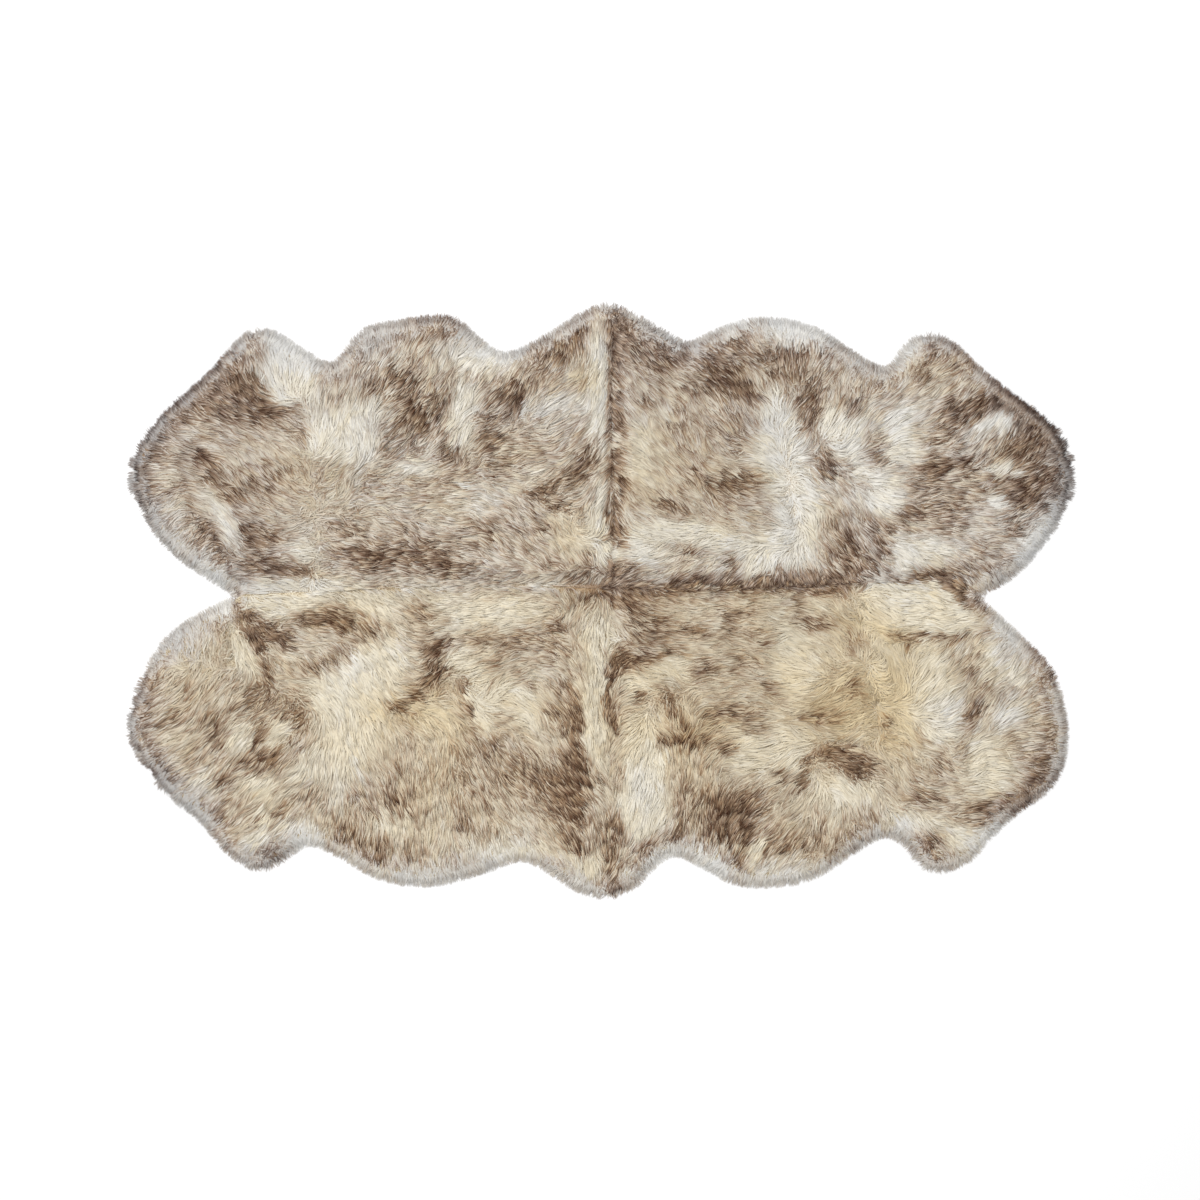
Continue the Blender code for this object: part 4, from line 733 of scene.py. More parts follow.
# Adds a node with its settings; a socket's value may be another node's output, which is linked.
def addNode(tree, kind, sockets=None, **settings):
    node = tree.nodes.new(kind)
    for name, value in settings.items():
        setattr(node, name, value)
    for name, value in (sockets or {}).items():
        if isinstance(value, bpy.types.NodeSocket):
            tree.links.new(value, node.inputs[name])
        else:
            node.inputs[name].default_value = value
    return node


# The output of a math node, from its operation and its values in order.
def mathOf(tree, operation, *values):
    return addNode(tree, "ShaderNodeMath", dict(enumerate(values)), operation=operation).outputs[0]


# A colour ramp from (place, hex) stops.
def colourStops(tree, fac, stops):
    node = addNode(tree, "ShaderNodeValToRGB", {"Fac": fac})
    for index, (place, colour) in enumerate(stops):
        stop = node.color_ramp.elements[index] if index < 2 else node.color_ramp.elements.new(place)
        stop.position = place
        stop.color = hexColour(colour)
    return node.outputs["Color"]


# The mix of two colours: from one to the other by the share, or their product.
def mixOf(tree, share, first, second, blendType="MIX"):
    sockets = {0: share, 6: first, 7: second}
    return addNode(tree, "ShaderNodeMix", sockets, data_type="RGBA", blend_type=blendType).outputs[2]


# A new material, with values by the names of its shader's own sockets.
def newMaterial(name, values):
    material = bpy.data.materials.new(name)
    material.use_nodes = True
    shader = material.node_tree.nodes["Principled BSDF"]
    for socket, value in values.items():
        shader.inputs[socket].default_value = value
    return material, material.node_tree, shader


# Links a colour, and a bump from a height, to the shader.
def finishShader(tree, shader, colour, height, strength, distance):
    tree.links.new(colour, shader.inputs["Base Color"])
    bump = addNode(tree, "ShaderNodeBump", {"Height": height, "Strength": strength, "Distance": distance})
    tree.links.new(bump.outputs[0], shader.inputs["Normal"])


def objectPlace(tree):
    return addNode(tree, "ShaderNodeTexCoord").outputs["Object"]


woolColours = {
    # roots and tips, from the palest locks to the brownest
    "roots": [(0.0, "#eeebe4"), (0.08, "#dad5cb"), (0.4, "#d6ccbf"), (0.7, "#c6b5a3"), (1.0, "#ab927c")],
    "tips": [
        (0.0, "#eae7df"), (0.08, "#d5cec3"), (0.3, "#b09c8a"), (0.5, "#89654f"), (0.75, "#5d3a26"),
        (1.0, "#351c0f"),
    ],
    # cool at the rims, where that paints their shade, then neutral, warm and yellow
    "tints": [(0.0, "#e4e6ea"), (0.4, "#ffffff"), (0.6, "#fffaed"), (1.0, "#fbeccb")],
    "paintedHollowShade": [(0.38, "#b3a695"), (0.58, "#ffffff")],  # painted shade of the hollows in the dense wool
    "rimShadeGrey": 0.50,  # how much of its colour the coolest wool keeps, greying the rim's painted shade
    "rimShadeGreyEnd": 0.45,  # share of the rows over which it wins all its colour back
    "tipStart": 0.42,  # where along a lock the tip's colour starts
    "tipWhole": 1.0,  # and where it is whole
    "brownReach": 0.11,  # how much nearer the root that is in the brownest locks
    "roughness": 0.85,
    "keratin": 1.55,  # index of refraction
    "specular": 0.15,
    "sheen": 0.08,
    "sheenRoughness": 0.5,
    "crimp": 400.0,  # noise scale of waves about 2.5 mm across
    "crimpStrength": 0.8,
    "crimpDepth": 0.0012,
}


# Long-wool fleece: matt keratin fibre, cream below and brown at the tip, with a faint silky sheen.
# Its map holds how brown a lock is across, and the row of its tint with the place along it upwards.
# Colour = the mix of root and tip by the place, greyer at the coolest rows, times the row's tint, whose
# coolest rows paint the rims' shade, and in the dense wool times a painted shade of its hollows, where
# the crimp, given by its depth, is a bump.
def longWool(name, crimp):
    material, tree, shader = newMaterial(name, {
        "Roughness": woolColours["roughness"], "IOR": woolColours["keratin"],
        "Specular IOR Level": woolColours["specular"], "Sheen Weight": woolColours["sheen"],
        "Sheen Roughness": woolColours["sheenRoughness"],
    })
    uv = addNode(tree, "ShaderNodeUVMap", uv_map="WoolTone").outputs["UV"]
    parts = addNode(tree, "ShaderNodeSeparateXYZ", {"Vector": uv}).outputs
    rows = mathOf(tree, "MULTIPLY", parts["Y"], float(tone["rows"]))
    place = mathOf(tree, "FRACT", rows)
    share = mathOf(tree, "DIVIDE", mathOf(tree, "FLOOR", rows), float(tone["rows"] - 1))
    along = mathOf(tree, "MULTIPLY_ADD", parts["X"], woolColours["brownReach"], place)
    atTip = addNode(tree, "ShaderNodeMapRange", {
        "Value": along, "From Min": woolColours["tipStart"], "From Max": woolColours["tipWhole"],
    }, interpolation_type="SMOOTHSTEP").outputs["Result"]
    roots = colourStops(tree, parts["X"], woolColours["roots"])
    tips = colourStops(tree, parts["X"], woolColours["tips"])
    # the coolest rows lose colour: the grey of the painted shade at the rims
    kept = addNode(tree, "ShaderNodeMapRange", {
        "Value": share, "From Min": 0.0, "From Max": woolColours["rimShadeGreyEnd"],
        "To Min": woolColours["rimShadeGrey"], "To Max": 1.0,
    }).outputs["Result"]
    lock = {"Saturation": kept, "Color": mixOf(tree, atTip, roots, tips)}
    lock = addNode(tree, "ShaderNodeHueSaturation", lock).outputs[0]
    # times the row's tint, whose coolest, darker rows are painted shade at the rims
    colour = mixOf(tree, 1.0, lock, colourStops(tree, share, woolColours["tints"]), "MULTIPLY")
    if not crimp:
        tree.links.new(colour, shader.inputs["Base Color"])
        return material
    sockets = {"Vector": objectPlace(tree), "Scale": woolColours["crimp"], "Detail": 3.0}
    waves = addNode(tree, "ShaderNodeTexNoise", sockets).outputs[0]
    # painted shade in the hollows of the dense wool, from the same waves as its bump
    colour = mixOf(tree, 1.0, colour, colourStops(tree, waves, woolColours["paintedHollowShade"]), "MULTIPLY")
    finishShader(tree, shader, colour, waves, woolColours["crimpStrength"], crimp)
    return material


threadColours = {
    # the twist's painted shade: darker in its grooves, paler on its ridges
    "twist": [(0.0, "#b9ab8d"), (1.0, "#e2d8c2")],
    "scale": 210.0,
    "bump": (0.6, 0.0002),  # strength and depth
    "roughness": 0.6,
    "wax": 1.45,  # index of refraction
}


# Waxed linen thread: off-white, with painted shade in the grooves of its twist every 1.5 mm.
def threadMaterial():
    values = {"Roughness": threadColours["roughness"], "IOR": threadColours["wax"]}
    material, tree, shader = newMaterial("waxed_thread", values)
    sockets = {"Vector": objectPlace(tree), "Scale": threadColours["scale"], "Distortion": 2.0}
    twist = addNode(tree, "ShaderNodeTexWave", sockets, bands_direction="DIAGONAL").outputs["Fac"]
    colour = colourStops(tree, twist, threadColours["twist"])
    finishShader(tree, shader, colour, twist, *threadColours["bump"])
    return material


suedeColours = {
    "clouds": [(0.35, "#d3c2a4"), (0.7, "#b79f7c")],  # from the pale to the deep buff
    "cloudScale": 14.0,  # of clouds about 70 mm across
    "napScale": 900.0,  # of a nap about 1 mm across
    "nap": (0.5, 0.0004),  # its strength and depth
    "roughness": 0.92,
    "collagen": 1.5,  # index of refraction
    "sheen": 0.3,
}


# The flesh side of a tanned sheepskin: matt suede, buff with soft darker clouds and a fine nap.
def suede():
    material, tree, shader = newMaterial("sheepskin_suede", {
        "Roughness": suedeColours["roughness"], "IOR": suedeColours["collagen"],
        "Sheen Weight": suedeColours["sheen"],
    })
    where = objectPlace(tree)
    sockets = {"Vector": where, "Scale": suedeColours["cloudScale"], "Detail": 6.0}
    clouds = addNode(tree, "ShaderNodeTexNoise", sockets).outputs[0]
    sockets = {"Vector": where, "Scale": suedeColours["napScale"], "Detail": 2.0}
    nap = addNode(tree, "ShaderNodeTexNoise", sockets).outputs[0]
    colour = colourStops(tree, clouds, suedeColours["clouds"])
    finishShader(tree, shader, colour, nap, *suedeColours["nap"])
    return material


# A mesh object from arrays: faces are given by their corner counts and corners.
def meshObject(name, points, counts, corners, maps, material):
    mesh = bpy.data.meshes.new(name)
    mesh.vertices.add(len(points))
    mesh.vertices.foreach_set("co", points.astype(np.float32).ravel())
    mesh.loops.add(len(corners))
    mesh.loops.foreach_set("vertex_index", corners.astype(np.int32))
    mesh.polygons.add(len(counts))
    mesh.polygons.foreach_set("loop_start", (np.cumsum(counts) - counts).astype(np.int32))
    mesh.update(calc_edges=True)
    mesh.validate()
    for mapName, uv in maps.items():
        layer = mesh.uv_layers.new(name=mapName, do_init=False)
        layer.data.foreach_set("uv", uv[corners].astype(np.float32).ravel())
    mesh.polygons.foreach_set("use_smooth", np.ones(len(counts), bool))
    mesh.materials.append(material)
    piece = bpy.data.objects.new(name, mesh)
    bpy.context.scene.collection.objects.link(piece)
    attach(piece, "root")
    return piece


# For the outline: points within slack of the inset line are kept, rim points keep offSeam away from
# the seams, and points within onSeam of a seam count as its own. For its centre, tries points a metre.
outlineSizes = {"slack": 0.0015, "offSeam": 0.004, "onSeam": 0.002, "tries": 50}


# A pelt's closed outline, anticlockwise: both seams, a hair to the pelt's side, and the line of the
# tips moved inwards by the inset.
def peltOutline(name, inset):
    along, across = name.split("_")
    side = sides[name]
    first, last = (seam[valueAt(tipDepth, *seam.T) > inset] for seam in (seams[along], seams[across][::-1]))
    rim = rims[name]
    slope = np.column_stack([valueAt(depthX, *rim.T), valueAt(depthY, *rim.T)])
    rim = rim + inset * slope / np.linalg.norm(slope, axis=1)[:, None]
    kept = valueAt(tipDepth, *rim.T) > inset - outlineSizes["slack"]
    kept &= valueAt(side, *rim.T) > outlineSizes["offSeam"]
    loop = np.vstack([first, rim[kept], last[:-1]])
    if np.cross(loop, np.roll(loop, -1, axis=0)).sum() < 0:
        loop = loop[::-1]
    # the seams' points step to the pelt's own side of the gap
    ahead = np.roll(loop, -1, axis=0) - np.roll(loop, 1, axis=0)
    inwards = np.column_stack([-ahead[:, 1], ahead[:, 0]]) / np.hypot(*ahead.T)[:, None]
    near = valueAt(seamAway, *loop.T) < outlineSizes["onSeam"]
    return loop + inwards * (near[:, None] * fleece["seamGap"] / 2)


# The point of a pelt from which the outlines of its wool and its leather are seen best: of a grid of
# points, the one that lies furthest inside the line of every edge.
def starCentre(name):
    loops = [peltOutline(name, fleece[inset]) for inset in ("underRim", "hideInset")]
    ahead = np.vstack([np.roll(loop, -1, axis=0) - loop for loop in loops])
    inwards = np.column_stack([-ahead[:, 1], ahead[:, 0]]) / np.hypot(*ahead.T)[:, None]
    corners, tries = np.vstack(loops), outlineSizes["tries"]
    low, high = np.floor(corners.min(axis=0) * tries), np.ceil(corners.max(axis=0) * tries)
    across, along = (np.arange(*ends) / tries for ends in zip(low, high))
    spots = np.stack(np.meshgrid(across, along), axis=-1).reshape(-1, 2)
    depth = spots @ inwards.T - (corners * inwards).sum(axis=1)
    return spots[np.argmax(depth.min(axis=1))]


# A closed shell from rings of points, from the innermost on top, out over the edge and back in below,
# with a fan of triangles to the middle at both ends.
def shell(top, rings, base):
    count = rings.shape[1]
    points = np.vstack([top, rings.reshape(-1, 3), base])
    first = 1 + np.arange(len(rings))[:, None] * count + np.arange(count)
    after = np.roll(first, -1, axis=1)
    quads = np.stack([first[:-1], first[1:], after[1:], after[:-1]], axis=-1).reshape(-1, 4)
    fan = np.column_stack([np.zeros(count, int), first[0], after[0]])
    under = np.column_stack([np.full(count, len(points) - 1), after[-1], first[-1]])
    corners = np.concatenate([quads.ravel(), fan.ravel(), under.ravel()])
    counts = np.concatenate([np.full(len(quads), 4), np.full(2 * count, 3)])
    return points, counts, corners


# A plan view of the points for the colour map, four metres across, with those after the split beside
# the rest.
def planMap(points, split):
    below = np.arange(len(points)) >= split
    return np.column_stack([0.25 + points[:, 0] / 4 + 0.5 * below, 0.5 + points[:, 1] / 4])


dense = {
    "rows": 44,  # rings over the top
    "crowding": 1.5,  # power that draws the rings together at the rim
    "riseStart": 0.0024,  # from the leather's edge out to where the underside starts to rise
    "riseEnd": 0.0006,  # and to where it is over the leather
    "riseShares": (0.985, 0.965),  # the furthest out that the two are on a ray to the outline
    "scan": np.linspace(1, 0.5, 251),  # shares of a ray that are tried for them
    "limits": (0.02, 0.98),  # of its brown
    "place": (0.3, 0.1),  # along a lock that its colour is taken from, and how that varies
    "placeNoise": (0.004, 31),  # in patches of this many metres, with this seed
    "backRow": 7,  # of tint: neutral
    "frontRow": 11,  # and warm
}


# Height of the dense wool's underside: on the floor at the rim, up a short slope, then over the leather.
def raised(depth):
    rise = (depth - fleece["hideInset"] + dense["riseStart"]) / (dense["riseStart"] - dense["riseEnd"])
    return np.clip(rise, 0, 1) * fleece["overHide"]


# A pelt's dense wool: rays from its centre to its outline carry the top, then a wall, then the
# underside, which is raised over the leather.
def denseWool(name, material):
    loop, centre = peltOutline(name, fleece["underRim"]), starCentre(name)
    rows = dense["rows"]
    shares = 1 - (1 - np.arange(1, rows + 1) / rows) ** dense["crowding"]
    top = centre + shares[:, None, None] * (loop - centre)
    rings = [*np.dstack([top, valueAt(underHeight, top[..., 0], top[..., 1])])]
    rays = centre + dense["scan"][:, None, None] * (loop - centre)
    depth = valueAt(tipDepth, rays[..., 0], rays[..., 1])
    rings.append(np.column_stack([loop, raised(depth[0])]))
    for edge, most in zip(("riseStart", "riseEnd"), dense["riseShares"]):
        inside = depth >= fleece["hideInset"] - dense[edge]
        share = np.minimum(dense["scan"][np.argmax(inside, axis=0)], most)
        ring = centre + share[:, None] * (loop - centre)
        rings.append(np.column_stack([ring, raised(valueAt(tipDepth, *ring.T))]))
    rings[-1][:, 2] = fleece["overHide"]
    crown, base = [*centre, valueAt(underHeight, *centre)], [*centre, fleece["overHide"]]
    points, counts, corners = shell(crown, np.array(rings), base)
    x, y = points[:, 0], points[:, 1]
    brown = np.clip(valueAt(brownness, x, y), *dense["limits"])
    place, varies = dense["place"]
    along = place + varies * softNoise(x, y, *dense["placeNoise"])
    row = dense["backRow"] if name.startswith("back") else dense["frontRow"]
    woolTone = np.column_stack([brown, (row + along) / tone["rows"]])
    maps = {"WoolTone": woolTone, "OFBake": planMap(points, rows * len(loop) + 1)}
    piece = meshObject("dense_" + name, points, counts, corners, maps, material)
    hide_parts("fleece_" + name)


# The leather: 2 mm thick, shaved thinner from below along the seams, where the thread lies.
leather = {
    "thick": 0.0020,
    "shaved": 0.0007,
    "shaving": (0.004, 0.010),  # from a seam to where the shaving starts to end, and ends
    "rings": (0, 0.004, 0.008, 0.014, 0.030),  # in from the edge
    "innerRings": (0.2, 0.4, 0.6, 0.8),  # shares of the last of these
}


# A pelt's hide: a flat closed sheet of leather inside the wool's rim, its rings closer at the edge.
def hideSheet(name, material):
    loop, centre = peltOutline(name, fleece["hideInset"]), starCentre(name)
    size = np.linalg.norm(loop - centre, axis=1)
    shares = [1 - step / size for step in leather["rings"]]
    shares = np.array([*[shares[-1] * inner for inner in leather["innerRings"]], *shares[::-1]])
    flat = centre + shares[..., None] * (loop - centre)
    away = valueAt(seamAway, flat[..., 0], flat[..., 1])
    under = leather["shaved"] * (1 - ramp(*leather["shaving"], away))
    upper = np.dstack([flat, np.full(away.shape, leather["thick"])])
    rings = np.concatenate([upper, np.dstack([flat, under])[::-1]])
    points, counts, corners = shell([*centre, leather["thick"]], rings, [*centre, 0])
    maps = {"OFBake": planMap(points, len(flat) * len(loop) + 1)}
    piece = meshObject("leather_" + name, points, counts, corners, maps, material)
    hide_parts("hide_" + name)


stitches = {
    "pitch": 0.005,
    "reach": 0.0032,  # half of a stitch's length across the seam
    "slant": 0.0016,  # and along it
    "radius": 0.00032,
    "sink": 0.0010,  # how deep its ends dive into the leather
    "clear": 1.05,  # height of its middle in radii
    "inset": 0.002,  # from the leather's edge to the first stitch
    "sections": 5,  # rings of points along it
    "facets": 6,  # points in a ring
}


# Middles and headings of the stitches, in equal steps along every seam.
def stitchPlaces():
    middles, headings = [], []
    for seam in seams.values():
        run = np.concatenate([[0], np.cumsum(np.linalg.norm(np.diff(seam, axis=0), axis=1))])
        at = np.arange(stitches["pitch"], run[-1], stitches["pitch"])
        middle = np.column_stack([np.interp(at, run, seam[:, 0]), np.interp(at, run, seam[:, 1])])
        heading = np.gradient(middle, axis=0)
        kept = valueAt(tipDepth, *middle.T) > fleece["hideInset"] + stitches["inset"]
        middles.append(middle[kept])
        headings.append((heading / np.linalg.norm(heading, axis=1)[:, None])[kept])
    return np.vstack(middles), np.vstack(headings)


# The overcast sewing of both seams on the flesh side: short slanting threads over the join, whose
# ends dive into the leather as the fourth power of the way from the middle.
def seamSewing(material):
    middle, ahead = stitchPlaces()
    across = np.column_stack([-ahead[:, 1], ahead[:, 0]])
    thread = across * stitches["reach"] + ahead * stitches["slant"]
    sideways = np.column_stack([-thread[:, 1], thread[:, 0]]) / np.linalg.norm(thread, axis=1)[:, None]
    sections, facets = np.linspace(-1, 1, stitches["sections"]), stitches["facets"]
    turn = np.arange(facets) * 2 * np.pi / facets
    points = np.zeros((len(middle), len(sections), facets, 3))
    points[..., :2] = (middle[:, None] + thread[:, None] * sections[:, None])[:, :, None]
    points[..., :2] += sideways[:, None, None] * stitches["radius"] * np.cos(turn)[:, None]
    points[..., 2] = stitches["radius"] * (stitches["clear"] + np.sin(turn))
    points[..., 2] += stitches["sink"] * sections[:, None] ** 4
    j, i = np.meshgrid(np.arange(len(sections) - 1), np.arange(facets), indexing="ij")
    here, beside = j * facets + i, j * facets + (i + 1) % facets
    tube = np.stack([here, here + facets, beside + facets, beside], axis=-1).ravel()
    caps = np.concatenate([np.arange(facets), np.arange(facets)[::-1] + facets * (len(sections) - 1)])
    pattern = np.concatenate([tube, caps])
    corners = (np.arange(len(middle))[:, None] * len(sections) * facets + pattern).ravel()
    counts = np.tile(np.concatenate([np.full(len(tube) // 4, 4), [facets, facets]]), len(middle))
    around, along = np.meshgrid(np.abs(np.arange(facets) - facets / 2) / facets, (sections + 1) / 2)
    bake = np.tile(np.stack([around, along], axis=-1).reshape(-1, 2), (len(middle), 1))
    meshObject("seam_sewing", points.reshape(-1, 3), counts, corners, {"OFBake": bake}, material)


# Lengths in metres and turns in degrees.
lockSizes = {
    "strands": 44000,  # in a pelt
    "counted": (0.001, 0.012),  # from a seam and from the tips in to the area they are counted over
    "lattice": (0.93, 0.61),  # half sizes of the lattice of roots
    "rimStrands": 0.75,  # as many more again near the rim
    "rimReach": 0.042,  # and how far in from the tips that is
    "firstRoots": (0.010, 0.020),  # from the tips in to the outermost roots
    "seamRoots": 0.0012,  # from a seam to the nearest roots
    "pitch": 0.012,  # between locks
    "jitter": (0.1, 0.9),  # where in its square of the lattice a lock is
    "length": (0.036, 0.052),
    "turn": 14,  # that a lock turns off the lie, either way
    "curl": 22,  # that a strand turns along its length, either way
    "gather": (0.15, 0.65),  # how far a lock's tips draw together
    "brown": 0.18,  # how far locks differ in brown, as a share of it
    "tint": 0.10,  # and in tint
    "stray": 0.003,  # how far off a lock takes its tone
    "lift": (0.30, 1.0),  # where a lock lies between the dense wool and the top
}

strandSizes = {
    "length": (0.75, 1.1),  # of its lock's
    "shorter": 0.2,  # how much shorter the loosest strands are
    "seamLength": 0.55,  # of its length that a strand has at a seam
    "seamFade": (0.005, 0.050),  # distance over which it wins the rest
    "looseBrown": (0.05, 0.30),  # brownness over which wool may turn loose at a parting
    "looseLeast": 0.3,  # how loose the palest wool may turn
    "curl": 8,  # more or less than its lock's
    "turn": 7,  # off its lock's
    "looseTurn": 24,  # and more where it is loose
    "rimTurn": 7,  # and more near the rim
    "rim": (0.020, 0.060),  # depth inside the tips over which the rim ends
    "gather": (0.7, 1.1),  # of its lock's
    "rimGather": 0.35,  # what is left of the gathering near the rim, except at the neck ends
    "gatherPower": 1.3,
    "across": 0.42,  # how far back a loose strand lies over its root, in lengths
    "over": 0.003,  # how far a tip may pass the outline or a seam
    "fringe": 0.016,  # over which the tips thin out towards the outline
    "fringePower": 1.2,
    "spikes": 0.021,  # how far the tips of locks differ at the neck ends
    "spikeInset": 0.011,  # how far inside the outline the shortest end
    "spikeFringe": 0.006,  # over which a lock's own tips thin out
    "shortest": 0.2,  # the least share of its length that a shortened strand keeps
    "lean": 0.007,  # how much further tips may pass a seam, by stretches
    "leanNoise": (0.050, 51),  # size of those stretches in metres, and their seed
    "liftVary": 0.18,  # how far a strand lies off its lock's lift
    "liftLimits": (0.15, 1.1),
    "middleLift": (0.45, 0.75),  # of the strand's lift
    "tipLift": (0.85, 1.1),
    "rootSink": 0.002,  # depth of the roots in the dense wool
    "least": 0.0016,  # height of a strand's root, middle or tip
    "width": 0.00195,
    "widthVary": (0.7, 1.3),
    "ridge": 0.35,  # height of a strand's ridge over its width
    "roll": 28,  # about its length, either way
}


# A jittered lattice of roots over a pelt, with more of them near the rim.
def strandRoots(side, rng):
    seamLine, tipLine = lockSizes["counted"]
    area = (side > seamLine) & (tipDepth > tipLine)
    pitch = np.sqrt(area.sum() * cell**2 / lockSizes["strands"])
    across, upward = (np.arange(-half, half, pitch) for half in lockSizes["lattice"])
    grid = np.stack(np.meshgrid(across, upward), axis=-1).reshape(-1, 2)
    more = grid[rng.uniform(0, 1, len(grid)) < lockSizes["rimStrands"]]
    more = more[valueAt(tipDepth, *more.T) < lockSizes["rimReach"]]
    roots = np.vstack([grid, more])
    roots = roots + rng.uniform(-0.5, 0.5, roots.shape) * pitch
    inside = valueAt(side, *roots.T) > lockSizes["seamRoots"]
    return roots[inside & (valueAt(tipDepth, *roots.T) > rng.uniform(*lockSizes["firstRoots"], len(roots)))]


# The middles of the locks on a jittered lattice, and which of them is nearest to each root.
def nearestLocks(roots, rng):
    pitch = lockSizes["pitch"]
    columns, rows = (round(span / pitch) for span in gridSpan)
    middles = rng.uniform(*lockSizes["jitter"], (rows, columns, 2))
    squares = np.stack(np.meshgrid(np.arange(columns), np.arange(rows)), axis=-1)
    middles = (middles + squares) * pitch + gridLow
    home = ((roots - gridLow) / pitch).astype(int)
    best, lock = np.full(len(roots), np.inf), np.zeros(len(roots), int)
    for j in (-1, 0, 1):
        for i in (-1, 0, 1):
            column = np.clip(home[:, 0] + i, 0, columns - 1)
            row = np.clip(home[:, 1] + j, 0, rows - 1)
            away = np.hypot(*(middles[row, column] - roots).T)
            lock = np.where(away < best, row * columns + column, lock)
            best = np.minimum(away, best)
    return middles.reshape(-1, 2), lock


# What the strands of a lock have in common.
def lockTraits(total, rng):
    return {
        "turn": np.radians(lockSizes["turn"]) * rng.uniform(-1, 1, total),
        "length": rng.uniform(*lockSizes["length"], total),
        "lift": rng.uniform(0, 1, total),
        "brown": rng.normal(0, lockSizes["brown"], total),
        "tint": rng.normal(0, lockSizes["tint"], total),
        "gather": rng.uniform(*lockSizes["gather"], total),
        "curl": np.radians(lockSizes["curl"]) * rng.uniform(-1, 1, total),
        "stray": rng.normal(0, lockSizes["stray"], (total, 2)),
    }


# Marches from each root along the lie in two steps, turned by turn plus a share of curl at each: how
# far along the step's middle is, less the place where the curl is none.
def marchFrom(roots, lie, length, turn, curl):
    uncurled = 0.3
    path = [roots]
    for share in (0.25, 0.75):
        x, y = valueAt(lie[0], *path[-1].T), valueAt(lie[1], *path[-1].T)
        heading = np.arctan2(y, x) + turn + curl * (share - uncurled)
        ahead = np.column_stack([np.cos(heading), np.sin(heading)])
        path.append(path[-1] + (length / 2)[:, None] * ahead)
    return path


# Paths of the strands in plan: each marches by itself, is drawn to its lock's path as a power of the
# way to the tip, and lies across its root where it is loose, so that no parting is bare.
def strandPaths(roots, lie, own, lockPath, spiky, rng):
    count = len(roots)
    browner = ramp(*strandSizes["looseBrown"], brownness)
    least = strandSizes["looseLeast"]
    loose = valueAt(lie[2] * (least + (1 - least) * browner), *roots.T)
    length = own["length"] * rng.uniform(*strandSizes["length"], count)
    length *= 1 - strandSizes["shorter"] * loose
    offSeam = ramp(*strandSizes["seamFade"], valueAt(seamAway, *roots.T))
    length *= strandSizes["seamLength"] + (1 - strandSizes["seamLength"]) * offSeam
    curl = own["curl"] + np.radians(strandSizes["curl"]) * rng.uniform(-1, 1, count)
    inner = ramp(*strandSizes["rim"], valueAt(tipDepth, *roots.T))
    astray = strandSizes["turn"] + strandSizes["looseTurn"] * loose + strandSizes["rimTurn"] * (1 - inner)
    turn = own["turn"] + np.radians(astray) * rng.normal(0, 1, count)
    path = marchFrom(roots, lie, length, turn, curl)
    gather = own["gather"] * rng.uniform(*strandSizes["gather"], count) * (1 - loose)
    gather *= np.maximum(strandSizes["rimGather"] + (1 - strandSizes["rimGather"]) * inner, spiky)
    for step in (1, 2):
        pull = (gather * (step / 2) ** strandSizes["gatherPower"])[:, None]
        path[step] = path[step] * (1 - pull) + lockPath[step] * pull
    back = (path[2] - path[0]) * (strandSizes["across"] * loose)[:, None]
    return [spot - back for spot in path]


# Strands whose tips pass the outline by more than they may are shortened. Tips thin out towards it,
# and at the neck ends lock by lock.
def trimAtOutline(path, lift, spiky, rng):
    count = len(lift)
    fringe = strandSizes["fringe"] * rng.uniform(0, 1, count) ** strandSizes["fringePower"]
    spikes = strandSizes["spikes"] * lift - strandSizes["spikeInset"]
    spikes -= strandSizes["spikeFringe"] * rng.uniform(0, 1, count)
    over = (strandSizes["over"] - fringe) * (1 - spiky) + spiky * spikes
    startDepth = valueAt(tipDepth, *path[0].T)
    for _ in range(2):
        endDepth = valueAt(tipDepth, *path[2].T)
        short = (startDepth + over) / np.maximum(startDepth - endDepth, 1e-6)
        short = np.where(endDepth < -over, np.clip(short, strandSizes["shortest"], 1), 1)[:, None]
        path = [path[0], *(path[0] + (spot - path[0]) * short for spot in path[1:])]
    return path


# Points that pass a seam by more than the reach slide back along the slope of the distance to it.
def keepToSide(path, side, reach):
    slopeY, slopeX = np.gradient(side, cell)
    for step in (1, 2):
        for _ in range(2):
            beyond = np.clip(-reach - valueAt(side, *path[step].T), 0, None)
            slope = np.column_stack([valueAt(slopeX, *path[step].T), valueAt(slopeY, *path[step].T)])
            path[step] = path[step] + np.clip(slope, -1, 1) * beyond[:, None]
    return path


# Root, middle and tip of the strands in space, between the dense wool and the wool's top.
def liftedSpots(path, lockLift, rng):
    count, (low, high) = len(lockLift), lockSizes["lift"]
    vary = strandSizes["liftVary"]
    lift = low + (high - low) * lockLift + rng.uniform(-vary, vary, count)
    lift = np.clip(lift, *strandSizes["liftLimits"])
    middle, tip = (lift * rng.uniform(*strandSizes[part], count) for part in ("middleLift", "tipLift"))
    spots = []
    for spot, share, sink in zip(path, (0, middle, tip), (strandSizes["rootSink"], 0, 0)):
        bottom, top = valueAt(underHeight, *spot.T), valueAt(topHeight, *spot.T)
        z = bottom + (top - bottom) * share - sink
        spots.append(np.column_stack([spot, np.maximum(z, strandSizes["least"])]))
    return spots


